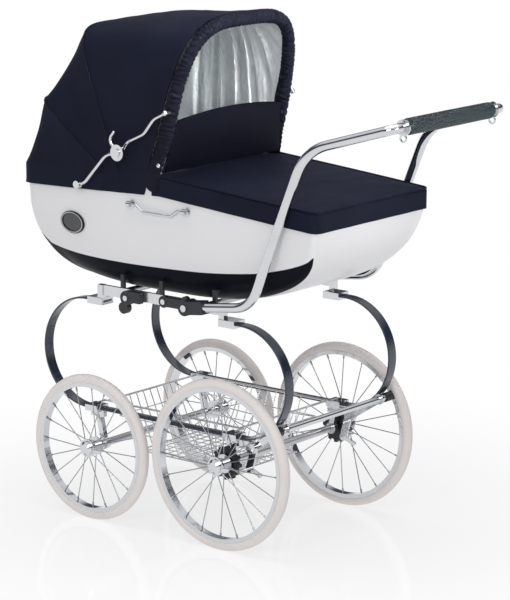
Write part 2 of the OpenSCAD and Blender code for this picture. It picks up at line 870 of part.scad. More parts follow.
module handle_grip() {
    half = grip_l / 2;
    color("#3b4848") placed()
        translate([grip_x, 0, grip_z]) rotate([90, 0, 0])
            rotate_extrude()
                difference() {
                    union() {
                        translate([0, -half + grip_round]) square([grip_d / 2, grip_l - 2 * grip_round]);
                        translate([0, -half]) square([grip_d / 2 - grip_round, grip_l]);
                        for (end = sides)
                            translate([grip_d / 2 - grip_round, end * (half - grip_round)])
                                circle(r = grip_round);
                    }
                    translate([0, -grip_l]) square([handle_d / 2, 2 * grip_l]);
                }
}

module grip_ferrules() {
    color("gainsboro") placed()
        for (side = sides)
            difference() {
                cross_pin(side, grip_x, grip_z, grip_l / 2, grip_l / 2 + ferrule_l, ferrule_d);
                cross_pin(side, grip_x, grip_z, grip_l / 2 - cut, grip_l / 2 + ferrule_l + cut, handle_d);
            }
}

module accessory_rings() {
    mid = grip_l / 2 + ferrule_l / 2;
    color("gainsboro") placed()
        for (side = sides)
            side_plate(side, mid - ring_t / 2, mid + ring_t / 2)
                difference() {
                    union() {
                        translate([grip_x, grip_z]) circle(d = ferrule_d + 2 * ring_wall);
                        translate([grip_x, grip_z - ring_drop]) circle(d = ring_d);
                    }
                    translate([grip_x, grip_z]) circle(d = ferrule_d);
                    translate([grip_x, grip_z - ring_drop]) circle(d = ring_bore);
                }
}

// Tub lines: at each depth, shares of the rim's half length, half width, end width and corner radius
depth_shares = [0, 0.28, 0.4, 0.548, 0.659, 0.763, 0.863, 0.937, 0.981, 1];
length_shares = [1, 1, 0.997, 0.99, 0.979, 0.945, 0.87, 0.76, 0.6, 0.46];
width_shares = [1, 1, 1, 0.995, 0.981, 0.958, 0.912, 0.85, 0.77, 0.65];
end_width_shares = [0.95, 0.91, 0.87, 0.79, 0.715, 0.64, 0.59, 0.53, 0.45, 0.36];
corner_shares = [0.2, 0.22, 0.18, 0.16, 0.19, 0.24, 0.26, 0.24, 0.2, 0.15];
foot_length_shares = [1, 0.993, 0.98, 0.95, 0.9, 0.82, 0.69, 0.54, 0.39, 0.26];
foot_end_shares = [0.968, 0.96, 0.925, 0.84, 0.75, 0.67, 0.6, 0.54, 0.48, 0.4];
foot_corner_shares = [0.06, 0.06, 0.09, 0.14, 0.19, 0.24, 0.26, 0.24, 0.2, 0.15];
corner_least = 6;
barrel_power = 4;
side_steps = 7;
corner_steps = 4;

function at_depth(share, values) =
    lookup(share, [for (i = [0 : len(values) - 1]) [depth_shares[i], values[i]]]);
function rim_drop(x) = let (u = (x - tub_shift) / tub_half_l)
    u > 0 ? rim_foot_drop * u : rim_head_drop * -u;
function rim_height(x) = rim_z - rim_drop(x);

// Height of a point at a depth: the rim's slope fades out over the straight upper part of the side
function depth_z(share, x) = rim_z - tub_depth * share - rim_drop(x) * max(0, 1 - share / depth_shares[1]);

// Half of an outline, from the left side round one end to the right side
function half_outline(end, x_start, share, off) =
    let (
        hl = tub_half_l * at_depth(share, end > 0 ? foot_length_shares : length_shares) + off,
        hw = tub_half_w * at_depth(share, width_shares) + off,
        ew = tub_half_w * at_depth(share, end > 0 ? foot_end_shares : end_width_shares) + off,
        corners = end > 0 ? foot_corner_shares : corner_shares,
        rc = max(tub_half_w * at_depth(share, corners) + off, corner_least),
        xc = tub_shift + end * (hl - rc),
        yc = barrel(xc, hl, hw, ew) - rc,
        near = [for (x = side_places(end, x_start, xc)) [x, -barrel(x, hl, hw, ew)]],
        round_near = [for (i = [0 : corner_steps])
            let (turn = 90 * i / corner_steps) [xc + end * rc * sin(turn), -yc - rc * cos(turn)]],
        half = concat(near, round_near)
    )
    concat(half, [[tub_shift + end * hl, 0]], [for (p = flip(half)) [p[0], -p[1]]]);

// Places along a side; a side that starts before the tub's middle has one of them at the middle
function side_places(end, x_start, xc) = end * (tub_shift - x_start) > 0
    ? concat([x_start], [for (i = [0 : side_steps - 2]) lerp(tub_shift, xc, i / (side_steps - 1))])
    : [for (i = [0 : side_steps - 1]) lerp(x_start, xc, i / side_steps)];

function barrel(x, hl, hw, ew) = ew + (hw - ew) * (1 - pow(abs(x - tub_shift) / hl, barrel_power));

function whole_outline(share, off) =
    let (foot = half_outline(1, tub_shift, share, off), head = flip(half_outline(-1, tub_shift, share, off)))
    concat(foot, [for (i = [1 : len(head) - 2]) head[i]]);

function tub_ring(share, off, lift) =
    [for (p = whole_outline(share, off)) [p[0], p[1], depth_z(share, p[0]) + lift]];

module tub() {
    levels = len(depth_shares);
    outer = [for (i = [levels - 1 : -1 : 0]) tub_ring(depth_shares[i], 0, 0)];
    inner = [for (i = [0 : levels - 1]) tub_ring(depth_shares[i], -tub_wall, i == 0 ? 0 : tub_wall)];
    color("#dcdbde") placed() skin(flip(concat(outer, inner)));
}

// Feet: posts that stand on the rails, each with an arm to the tub's side
cot_foot_x_shares = [-0.33, 0.006, 0.455];
cot_foot_w = 10;
cot_arm_h = 6;
cot_arm_lap = 0.5;

module cot_feet() {
    low = rail_top_z + seat_gap;
    arm_top = low + cot_foot_h - cot_arm_lap;
    color("#15171c") placed()
        for (side = sides, share = cot_foot_x_shares) {
            x = share * spring_mouth;
            inner = side_half(x, arm_top) + seat_gap;
            translate([x - cot_foot_w / 2, side * rail_y - rail_t / 2, low])
                cube([cot_foot_w, rail_t, cot_foot_h]);
            translate([x - cot_foot_w / 2 + cot_arm_lap, side * (inner + rail_y) / 2 - (rail_y - inner) / 2,
                arm_top - cot_arm_h])
                cube([cot_foot_w - 2 * cot_arm_lap, rail_y - inner, cot_arm_h]);
        }
}

// Mattress: lies where the tub narrows, with a low crown
mattress_share = 0.74;
mattress_crown = 10;
mattress_edge_share = 0.12;
mattress_gap = 0.8;

module mattress() {
    off = -tub_wall - mattress_gap;
    low = tub_wall + mattress_gap;
    top_share = mattress_share - mattress_h / tub_depth;
    edge = tub_half_w * mattress_edge_share;
    color("#f0efec") placed()
        skin([
            tub_ring(top_share, off - 3 * edge, low + mattress_crown),
            tub_ring(top_share, off - edge, low + mattress_crown / 2),
            tub_ring(top_share, off, low),
            tub_ring(mattress_share, off, low)
        ]);
}

// Apron: a lid of padded cloth with a skirt over the rim, from the hood to the foot end
apron_front_x = -15;
apron_top_gap = 4 * seat_gap;
apron_edge_share = 0.12;

function apron_ring(off, x_start, lift) =
    [for (p = half_outline(1, x_start, 0, off)) [p[0], p[1], rim_height(p[0]) + lift]];

module apron() {
    inset = apron_inset;
    ceiling = apron_top_gap;
    top = ceiling + cloth_t;
    color("#171a28") placed()
        difference() {
            skin([
                apron_ring(cloth_out - 3 * inset, apron_front_x + 2 * inset, top + apron_crown),
                apron_ring(cloth_out - inset, apron_front_x + inset, top + apron_crown / 2),
                apron_ring(cloth_out - cloth_t, apron_front_x + cloth_t, top),
                apron_ring(cloth_out, apron_front_x, top - cloth_t),
                apron_ring(cloth_out, apron_front_x, -hem),
                apron_ring(cloth_in, apron_front_x + cloth_t, -hem),
                apron_ring(cloth_in, apron_front_x + cloth_t, ceiling)
            ]);
            apron_mouth();
        }
}

// The skirt has no front wall: the space between its two sides is open below the lid
module apron_mouth() {
    half = tub_half_w + cloth_in;
    depth = 2 * hem;
    translate([apron_front_x - cut, -half, rim_height(apron_front_x) + apron_top_gap - depth])
        cube([cloth_t + 2 * cut, 2 * half, depth]);
}

// Windbreak: a flap that stands near the apron's front edge, on a round piped seam that it folds about
windbreak_t = 5;
windbreak_lean = 25;
windbreak_steps = 8;
windbreak_foot_share = 0.955;
windbreak_top_share = 0.84;
windbreak_rise = 14;
piping_d = 6;
apron_inset = tub_half_w * apron_edge_share;
apron_slope = apron_crown / 2 / (apron_inset - cloth_t);
seam_x = apron_front_x + apron_inset;
seam_z = rim_height(seam_x) + apron_top_gap + cloth_t + apron_crown / 2 + seat_gap
    + piping_d / 2 * norm([1, apron_slope]);

function windbreak_line(x, z, half, rise) = [for (i = [-windbreak_steps : windbreak_steps])
    let (u = i / windbreak_steps) [x, half * u, z + rise * (1 - u * u)]];

module windbreak() {
    foot_half = tub_half_w * windbreak_foot_share;
    top_half = tub_half_w * windbreak_top_share;
    front_x = seam_x + windbreak_t / 2;
    front = [
        windbreak_line(front_x, seam_z + piping_d / 2 + run_fit, foot_half, 0),
        windbreak_line(front_x + windbreak_lean, seam_z + windbreak_h, top_half, windbreak_rise)
    ];
    back = [for (line = front) [for (p = line) p - [windbreak_t, 0, 0]]];
    color("#171a28") placed() {
        shell(back, front);
        rod([seam_x, -foot_half, seam_z], [seam_x, foot_half, seam_z], piping_d);
    }
}

// Hood lines: each arch rises from the rim at its foot, leans at its angle and narrows a little
hood_pivot_x = -93;
hood_pivot_drop = 48;
hood_pivot_z = rim_z - hood_pivot_drop;
hood_foot_lift = 3;
hood_foot_z = rim_z + hood_foot_lift;
hood_front_x = -30;
arch_steps = 24;
arch_taper_share = 0.02;
arch_powers = [12, 7, 4];
bow_angles = [rear_bow_angle, mid_bow_angle, front_bow_angle];
bow_lengths = [rear_bow_l, mid_bow_l, front_bow_l];

function bow_foot_x(k) = k == 2 ? hood_front_x
    : hood_pivot_x + (hood_foot_z - hood_pivot_z) / tan(bow_angles[k]);

// A point of arch k at step i, moved inward, with its plane moved forward
function arch_point(k, i, inward, forward) =
    let (
        turn = 180 * i / arch_steps,
        e = 2 / arch_powers[k],
        rise = power(sin(turn), e),
        s = (bow_lengths[k] - inward) * rise,
        y = -(tub_half_w + cloth_out - inward) * power(cos(turn), e) * (1 - arch_taper_share * rise),
        a = bow_angles[k]
    )
    [bow_foot_x(k) + s * cos(a) + forward * sin(a), y, hood_foot_z + s * sin(a) - forward * cos(a)];

function arch(k, inward, forward) = [for (i = [0 : arch_steps]) arch_point(k, i, inward, forward)];

// The arch with its hem hung below both feet
function arch_with_hem(k, inward, forward) =
    let (line = arch(k, inward, forward), p = line[0], q = line[arch_steps], z = rim_height(p[0]) - hem)
    concat([[p[0], p[1], z]], line, [[q[0], q[1], z]]);

function mix_lines(a, b, f) = [for (i = [0 : len(a) - 1]) lerp(a[i], b[i], f)];

panel_steps = 3;
panel_gap = seat_gap / 2;
function panel_lines(k, inward) = [for (i = [0 : panel_steps]) mix_lines(
    arch_with_hem(k, inward, panel_gap), arch_with_hem(k + 1, inward, -panel_gap), 1 - i / panel_steps
)];

// The base line of the hood round the head end, at the hem or just over the rim
function base_line(inward, lift) =
    [for (p = half_outline(-1, bow_foot_x(0), 0, cloth_out - inward)) [p[0], p[1], rim_height(p[0]) + lift]];

function back_lines(inward) = concat(
    [for (i = [0 : panel_steps - 1]) mix_lines(
        arch(0, inward, -panel_gap), base_line(inward, hood_foot_lift), i / panel_steps
    )],
    [base_line(inward, hood_foot_lift), base_line(inward, -hem)]
);

module hood_back() {
    color("#171a28") placed()
        difference() {
            shell(flip(back_lines(0)), flip(back_lines(cloth_t)));
            for (side = sides)
                cross_pin(side, iron_low[0], iron_low[1], tub_inside, tub_half_w + 2 * cloth_out,
                    iron_hole_d);
        }
}

module hood_middle() {
    color("#171a28") placed() shell(flip(panel_lines(0, 0)), flip(panel_lines(0, cloth_t)));
}

// The front panel carries the gathered binding round its opening
binding_t = 22;
binding_ripple = 1.6;
binding_steps_share = 2;

binding_foot = 16;
front_way = [cos(front_bow_angle), 0, sin(front_bow_angle)];
function arch_rise(k, u) = power(sin(180 * u), 2 / arch_powers[k]);
function front_point(u, inward, forward) = arch_point(2, arch_steps * u, inward, forward);

module binding() {
    steps = binding_gathers * binding_steps_share;
    mid = binding_w / 2 + seat_gap + binding_ripple;
    centre = cloth_t / 2 - binding_t / 4;
    points = [for (i = [0 : steps])
        front_point(i / steps, -centre, mid) + binding_foot * (1 - arch_rise(2, i / steps)) * front_way];
    swell = [for (i = [0 : steps]) i % 2 == 0 ? binding_ripple : -binding_ripple];
    sweep(
        points, [sin(front_bow_angle), 0, -cos(front_bow_angle)],
        [for (s = swell) binding_t / 2 + s], [for (s = swell) binding_w / 2 + s / 2], 8
    );
}

module hood_front() {
    color("#171a28") placed() {
        shell(flip(panel_lines(1, 0)), flip(panel_lines(1, cloth_t)));
        binding();
    }
}

// Hood bows: rods that follow the arches inside the cloth and turn on one pin at each side
bow_eye_d = 18;
bow_eye_t = 5;
bow_pin_d = 7;
bow_slip = 1.4;
bow_clear = 2;
bow_inset = cloth_t + bow_d / 2 + seat_gap + bow_clear;
hinge_plate_t = 4;
tub_inside = tub_half_w - tub_wall;
function bow_eye_y(k) = tub_inside - hinge_plate_t - bow_slip - bow_eye_t / 2 - k * (bow_eye_t + bow_slip);

function bow_path(k, forward) =
    let (
        line = arch(k, bow_inset, forward),
        kept = [for (i = [1 : arch_steps - 1]) line[i]],
        lead = [hood_pivot_x, 0, hood_pivot_z],
        knee = k == 2 ? [[line[0][0], -bow_eye_y(k), hood_foot_z + bow_d]] : [],
        y = bow_eye_y(k)
    )
    concat([lead + [0, -y, 0]], knee, kept, [for (p = knee) [p[0], -p[1], p[2]]], [lead + [0, y, 0]]);

module bow(k, forward) {
    points = bow_path(k, forward);
    radius = [for (p = points) bow_d / 2];
    a = bow_angles[k];
    difference() {
        union() {
            sweep(points, [sin(a), 0, -cos(a)], radius, radius, 8);
            for (side = sides)
                cross_pin(side, hood_pivot_x, hood_pivot_z, bow_eye_y(k) - bow_eye_t / 2,
                    bow_eye_y(k) + bow_eye_t / 2, bow_eye_d);
        }
        for (side = sides)
            cross_pin(side, hood_pivot_x, hood_pivot_z, bow_eye_y(k) - bow_eye_t,
                bow_eye_y(k) + bow_eye_t, bow_pin_d + 2 * run_fit);
    }
}

module rear_bow() {
    color("silver") placed() bow(0, 0);
}

module mid_bow() {
    color("silver") placed() bow(1, 0);
}

// Landau irons: two curved arms a side that lock the hood open, jointed at a rosette
iron_d = 8;
iron_off = 19.4;
iron_y = tub_half_w + iron_off;
iron_eye_d = 18;
iron_eye_t = 8.6;
iron_low_back = 129;
iron_low_drop = 36;
iron_mid_fore = 1;
iron_mid_rise = 52;
iron_top_fore = 130.5;
iron_top_rise = 152.5;
iron_low = [hood_pivot_x - iron_low_back, rim_z - iron_low_drop];
iron_mid = [hood_pivot_x + iron_mid_fore, rim_z + iron_mid_rise];
iron_top = [hood_pivot_x + iron_top_fore, rim_z + iron_top_rise];
iron_pin_d = 8;
iron_hole_d = 13;
iron_bend_r = 40;
rosette_d = 38;
rosette_t = 7;
rosette_rim = 3;
ball_d = 14;
tail_back = 46;
tail_knee_rise = 17;
tail_tip_back = 26;
tail_rise = 42;
tail_knee = [-tail_back, tail_knee_rise];
tail_end = [-tail_tip_back, tail_rise];
arm_bend_r = 16;
high_arm_y0 = iron_y - iron_eye_t - seat_gap;
low_arm_y0 = iron_y + seat_gap;
low_arm_y = low_arm_y0 + iron_eye_t / 2;
high_arm_y = high_arm_y0 + iron_eye_t / 2;
rosette_y0 = low_arm_y0 + iron_eye_t - seat_gap;
iron_head_t = 2;
iron_head_d = 12;

module front_bow() {
    stud_in = tub_half_w - binding_t;
    link_y = tub_half_w + cloth_out - bow_inset;
    link_x = hood_front_x + (iron_top[1] - hood_foot_z) / tan(front_bow_angle) + binding_w / 2;
    color("silver") placed() {
        bow(2, binding_w / 2);
        for (side = sides)
            cross_pin(side, iron_top[0], iron_top[1], stud_in, high_arm_y - ball_d / 2 - seat_gap,
                iron_pin_d);
        for (side = sides)
            rod([link_x, side * link_y, iron_top[1]], [iron_top[0], side * link_y, iron_top[1]], bow_d);
    }
}

// Points of a swaying line between two ends: shares along it, and shares of its length to one side
function sway_route(p, q, shares, sway_shares) =
    let (v = q - p, across = [-v[1], v[0]])
    concat([p], [for (i = [0 : len(shares) - 1]) lerp(p, q, shares[i]) + across * sway_shares[i]], [q]);
low_route_shares = [0.14, 0.74];
low_sway_shares = [-0.04, 0.095];
high_route_shares = [0.16, 0.5, 0.78];
high_sway_shares = [0.06, -0.018, 0.047];

module landau_lower(side) {
    route = [for (p = sway_route(iron_low, iron_mid, low_route_shares, low_sway_shares))
        xz(p, side * low_arm_y)];
    color("gainsboro") placed()
        difference() {
            union() {
                bent_tube(route, [for (share = low_route_shares) iron_bend_r], iron_d);
                for (p = [iron_low, iron_mid])
                    cross_pin(side, p[0], p[1], low_arm_y0, low_arm_y0 + iron_eye_t, iron_eye_d);
                cross_pin(side, iron_mid[0], iron_mid[1], high_arm_y0 - seat_gap - iron_head_t / 2, low_arm_y,
                    iron_pin_d);
                cross_pin(side, iron_mid[0], iron_mid[1], high_arm_y0 - seat_gap - iron_head_t,
                    high_arm_y0 - seat_gap, iron_head_d);
                cross_pin(side, iron_mid[0], iron_mid[1], rosette_y0, rosette_y0 + rosette_t, rosette_d);
                cross_pin(side, iron_mid[0], iron_mid[1], rosette_y0 + rosette_t / 2,
                    rosette_y0 + rosette_t + rosette_rim, rosette_d / 2);
            }
            cross_pin(side, iron_low[0], iron_low[1], low_arm_y0 - iron_d, low_arm_y0 + 2 * iron_d,
                iron_pin_d + 2 * run_fit);
        }
}

module landau_upper(side) {
    route = [for (p = sway_route(iron_mid, iron_top, high_route_shares, high_sway_shares))
        xz(p, side * high_arm_y)];
    tail = [for (p = [iron_mid, iron_mid + tail_knee, iron_mid + tail_end]) xz(p, side * high_arm_y)];
    color("gainsboro") placed()
        difference() {
            union() {
                bent_tube(route, [for (share = high_route_shares) iron_bend_r], iron_d);
                bent_tube(tail, [arm_bend_r], iron_d);
                cross_pin(side, iron_mid[0], iron_mid[1], high_arm_y0, high_arm_y0 + iron_eye_t, iron_eye_d);
                translate(xz(iron_top, side * high_arm_y)) sphere(d = ball_d);
                translate(tail[2]) sphere(d = iron_d);
            }
            cross_pin(side, iron_mid[0], iron_mid[1], high_arm_y0 - iron_d, high_arm_y0 + 2 * iron_d,
                iron_pin_d + 2 * run_fit);
        }
}

// Fittings fixed to the tub: hood hinge plates inside, iron studs and bail eyes outside
bail_under_rim = 68;
bail_z = rim_z - bail_under_rim;
bail_fore = 2;
bail_x = tub_shift - bail_fore;
bail_l = 165;
bail_d = 6;
bail_drop = 14;
bail_eye_d = 14;
bail_eye_w = 10;
bail_out = 9;
bail_y = tub_half_w + bail_out;
bail_plate_d = 22;
bail_plate_t = 2;
hinge_plate_d = 40;
stud_cap_y0 = low_arm_y0 + iron_eye_t + seat_gap;

module tub_fittings() {
    color("gainsboro") placed()
        for (side = sides) {
            cross_pin(side, hood_pivot_x, hood_pivot_z, tub_inside - hinge_plate_t - seat_gap,
                tub_inside - seat_gap, hinge_plate_d);
            cross_pin(side, hood_pivot_x, hood_pivot_z, bow_eye_y(2) - bow_eye_t, tub_inside - hinge_plate_t,
                bow_pin_d);
            cross_pin(side, iron_low[0], iron_low[1], side_half(iron_low[0], iron_low[1]) + seat_gap,
                stud_cap_y0 + rosette_rim / 2, iron_pin_d);
            cross_pin(side, iron_low[0], iron_low[1], stud_cap_y0, stud_cap_y0 + rosette_rim, iron_eye_d);
            for (end = sides) bail_eye(side, bail_x + end * bail_l / 2);
        }
}

module bail_eye(side, x) {
    difference() {
        union() {
            rod([x - bail_eye_w / 2, side * bail_y, bail_z], [x + bail_eye_w / 2, side * bail_y, bail_z],
                bail_eye_d);
            cross_pin(side, x, bail_z, tub_half_w + seat_gap, bail_y, bail_eye_w);
            cross_pin(side, x, bail_z, tub_half_w + seat_gap, tub_half_w + seat_gap + bail_plate_t,
                bail_plate_d);
        }
        rod([x - bail_eye_w, side * bail_y, bail_z], [x + bail_eye_w, side * bail_y, bail_z],
            bail_d + 2 * run_fit);
    }
}

// Bail: a wire loop that hangs from its two eyes, turned out at both ends
module bail(side) {
    y = side * bail_y;
    half = bail_l / 2;
    tip = bail_eye_w;
    bend = bail_d;
    color("gainsboro") placed()
        bent_tube([
            [bail_x - half - tip, y, bail_z],
            [bail_x - half + 2 * tip, y, bail_z],
            [bail_x - half + 4 * tip, y, bail_z - bail_drop],
            [bail_x + half - 4 * tip, y, bail_z - bail_drop],
            [bail_x + half - 2 * tip, y, bail_z],
            [bail_x + half + tip, y, bail_z]
        ], [bend, bend, bend, bend], bail_d);
}

// Badge: a plain oval plate that lies along the left side of the tub
badge_fore = 272;
badge_under_rim = 134;
badge_x = tub_shift - badge_fore;
badge_z = rim_z - badge_under_rim;
badge_l = 79;
badge_h = 54;
badge_t = 2.5;
badge_rim_w = 4;
badge_steps = 48;
badge_fore_half = side_half(badge_x - badge_l / 4, badge_z);
badge_aft_half = side_half(badge_x + badge_l / 4, badge_z);
badge_low_half = side_half(badge_x, badge_z - badge_h / 4);
badge_high_half = side_half(badge_x, badge_z + badge_h / 4);
badge_yaw = -atan((badge_aft_half - badge_fore_half) * 2 / badge_l);
badge_tilt = atan((badge_high_half - badge_low_half) * 2 / badge_h);

// Half width of the tub's outside at a place along its side
function side_half(x, z) =
    let (share = (rim_z - z) / tub_depth)
    barrel(x, tub_half_l * at_depth(share, x > tub_shift ? foot_length_shares : length_shares),
        tub_half_w * at_depth(share, width_shares),
        tub_half_w * at_depth(share, x > tub_shift ? foot_end_shares : end_width_shares));

module oval(long, high) {
    polygon([for (i = [0 : badge_steps - 1])
        let (turn = 360 * i / badge_steps) [long / 2 * cos(turn), high / 2 * sin(turn)]]);
}

module badge() {
    back = 2 * seat_gap;
    color("#10141c") placed()
        translate([badge_x, -side_half(badge_x, badge_z), badge_z])
            rotate([badge_tilt, 0, badge_yaw]) {
                side_plate(left, back, back + badge_t) oval(badge_l, badge_h);
                side_plate(left, back + badge_t - run_fit, back + 2 * badge_t)
                    difference() {
                        oval(badge_l - badge_rim_w, badge_h - badge_rim_w);
                        oval(badge_l - 3 * badge_rim_w, badge_h - 3 * badge_rim_w);
                    }
            }
}

front_axle();
rear_axle();
axle_brackets();
leaf_springs();
lower_clamps();
basket_rim();
basket_wires();
tyre(left, front_x, front_r);  // tyre_front_left
tyre(right, front_x, front_r);  // tyre_front_right
tyre(left, rear_x, rear_r);  // tyre_rear_left
tyre(right, rear_x, rear_r);  // tyre_rear_right
rim(left, front_x, front_r);  // rim_front_left
rim(right, front_x, front_r);  // rim_front_right
rim(left, rear_x, rear_r);  // rim_rear_left
rim(right, rear_x, rear_r);  // rim_rear_right
spokes(left, front_x, front_r);  // spokes_front_left
spokes(right, front_x, front_r);  // spokes_front_right
spokes(left, rear_x, rear_r);  // spokes_rear_left
spokes(right, rear_x, rear_r);  // spokes_rear_right
hub(left, front_x, front_r);  // hub_front_left
hub(right, front_x, front_r);  // hub_front_right
hub(left, rear_x, rear_r);  // hub_rear_left
hub(right, rear_x, rear_r);  // hub_rear_right
brake_disc(left);  // brake_disc_left
brake_disc(right);  // brake_disc_right
brake_bar();
brake_bar_caps();
brake_levers();
side_rails();
cross_tubes();
spring_shackles();
frame_pins();
latch(left);  // latch_left
latch(right);  // latch_right
lock_hook(left);  // lock_hook_left
lock_hook(right);  // lock_hook_right
handle_tube();
handle_grip();
grip_ferrules();
accessory_rings();
handle_knuckles();
tub();
mattress();
apron();
badge();
tub_fittings();
cot_feet();
bail(left);  // bail_left
bail(right);  // bail_right
windbreak();
rear_bow();
mid_bow();
front_bow();
hood_back();
hood_middle();
hood_front();
landau_lower(left);  // landau_lower_left
landau_lower(right);  // landau_lower_right
landau_upper(left);  // landau_upper_left
landau_upper(right);  // landau_upper_right
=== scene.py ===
"""Bassinet pram: hull, hood, lining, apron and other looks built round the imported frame."""

import json
import math

import bmesh
import bpy
import numpy as np
from bpy.props import FloatProperty, FloatVectorProperty, IntProperty, PointerProperty
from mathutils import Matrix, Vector, noise


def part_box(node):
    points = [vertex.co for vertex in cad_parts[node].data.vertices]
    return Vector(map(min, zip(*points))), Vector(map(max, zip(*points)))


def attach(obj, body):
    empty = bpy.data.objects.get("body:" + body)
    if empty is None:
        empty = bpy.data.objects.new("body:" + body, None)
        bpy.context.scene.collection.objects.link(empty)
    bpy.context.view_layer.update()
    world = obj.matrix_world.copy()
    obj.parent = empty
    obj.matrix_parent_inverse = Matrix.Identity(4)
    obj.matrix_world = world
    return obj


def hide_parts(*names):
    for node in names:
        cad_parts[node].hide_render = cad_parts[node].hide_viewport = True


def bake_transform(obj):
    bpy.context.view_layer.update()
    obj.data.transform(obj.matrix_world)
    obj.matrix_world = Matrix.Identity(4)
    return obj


bl_info = {
    "name": "Bassinet pram",
    "version": (1, 0, 0),
    "blender": (4, 5, 0),
    "location": "View3D > Sidebar > Pram",
    "description": "Builds the soft goods, hull and finishes of a bassinet pram",
    "category": "Object",
}

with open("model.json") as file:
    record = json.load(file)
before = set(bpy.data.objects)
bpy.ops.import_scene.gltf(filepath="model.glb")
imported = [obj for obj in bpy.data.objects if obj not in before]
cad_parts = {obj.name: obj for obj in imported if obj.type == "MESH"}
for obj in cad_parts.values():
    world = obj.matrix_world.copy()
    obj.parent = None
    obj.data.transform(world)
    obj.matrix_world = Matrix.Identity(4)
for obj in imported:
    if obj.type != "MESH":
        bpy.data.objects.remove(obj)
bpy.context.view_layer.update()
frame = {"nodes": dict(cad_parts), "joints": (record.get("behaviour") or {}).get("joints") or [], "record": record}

# Places taken from the frame, in metres
TUB_LOW, TUB_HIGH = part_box("tub")
TUB_X = (TUB_LOW.x + TUB_HIGH.x) / 2
TUB_HALF_L = (TUB_HIGH.x - TUB_LOW.x) / 2
TUB_HALF_W = (TUB_HIGH.y - TUB_LOW.y) / 2
TUB_DEPTH = TUB_HIGH.z - TUB_LOW.z
RIM_Z = TUB_HIGH.z
JOINT_AT = {joint["name"]: Vector(joint["pos_m"]) for joint in frame["joints"] if joint.get("pos_m")}
HOOD_PIVOT = JOINT_AT["hood_rear_fold"]
SEAM = JOINT_AT["windbreak_fold"]

# Lines of the tub: at each depth share, shares of the rim's half length, half width, end width and corner
DEPTH_SHARES = [0, 0.28, 0.4, 0.548, 0.659, 0.763, 0.863, 0.937, 0.981, 1]
WIDTH_SHARES = [1, 1, 1, 0.995, 0.981, 0.958, 0.912, 0.85, 0.77, 0.65]
HEAD_LENGTH_SHARES = [1, 1, 0.997, 0.99, 0.979, 0.945, 0.87, 0.76, 0.6, 0.46]
HEAD_WIDTH_SHARES = [0.95, 0.91, 0.87, 0.79, 0.715, 0.64, 0.59, 0.53, 0.45, 0.36]
HEAD_CORNER_SHARES = [0.2, 0.22, 0.18, 0.16, 0.19, 0.24, 0.26, 0.24, 0.2, 0.15]
FOOT_LENGTH_SHARES = [1, 0.993, 0.98, 0.95, 0.9, 0.82, 0.69, 0.54, 0.39, 0.26]
FOOT_WIDTH_SHARES = [0.968, 0.96, 0.925, 0.84, 0.75, 0.67, 0.6, 0.54, 0.48, 0.4]
FOOT_CORNER_SHARES = [0.06, 0.06, 0.09, 0.14, 0.19, 0.24, 0.26, 0.24, 0.2, 0.15]
CORNER_LEAST = 0.006
BARREL_POWER = 4

# The hood's arches, rear to front: how square each one is; the share by which an arch narrows at its crown
ARCH_POWERS = [12, 7, 4]
ARCH_TAPER_SHARE = 0.02

# How far the hood's and the apron's cloth lies outside the tub and over its rim, in metres
CLOTH_OUT = 0.0036
CLOTH_UP = 0.003

# The hood's spans from the back to the front: name, the bodies at its two ends, the bows under it
SPANS = (
    ("back", ("carrycot", "hood_rear"), ["rear_bow"]),
    ("middle", ("hood_rear", "hood_mid"), ["rear_bow", "mid_bow"]),
    ("front", ("hood_mid", "hood_edge"), ["mid_bow", "front_bow"]),
)
# The number of the front span and of the front bow
FRONT = 2

# Upper edge of the dark band along a side: shares of the half length from the middle, shares of the depth
BAND_PLACE_SHARES = [-0.956, -0.9, -0.853, -0.685, -0.54, -0.299, 0.169, 0.587, 0.747, 0.848, 0.912, 0.95]
BAND_DEPTH_SHARES = [0.635, 0.69, 0.735, 0.752, 0.76, 0.764, 0.745, 0.685, 0.63, 0.58, 0.535, 0.485]

# Angle in degrees from which an edge is shaded sharp
SHARP_EDGE = 50
WHITE = (1.0, 1.0, 1.0, 1.0)


class TubSettings(bpy.types.PropertyGroup):
    wall: FloatProperty(
        name="Wall", description="Thickness of the tub's wall", default=0.005, unit="LENGTH")
    rim_foot_drop: FloatProperty(
        name="Foot drop", description="How much lower the rim is at the foot end",
        default=0.036, unit="LENGTH")
    rim_head_drop: FloatProperty(
        name="Head drop", description="How much lower the rim is at the head end",
        default=0.015, unit="LENGTH")
    shell_colour: FloatVectorProperty(
        name="Shell", description="Colour of the painted shell",
        default=(0.66, 0.66, 0.675), subtype="COLOR")
    band_colour: FloatVectorProperty(
        name="Band", description="Colour of the painted band",
        default=(0.0045, 0.0052, 0.009), subtype="COLOR")
    mattress_colour: FloatVectorProperty(
        name="Mattress", description="Colour of the mattress cover",
        default=(0.78, 0.77, 0.75), subtype="COLOR")


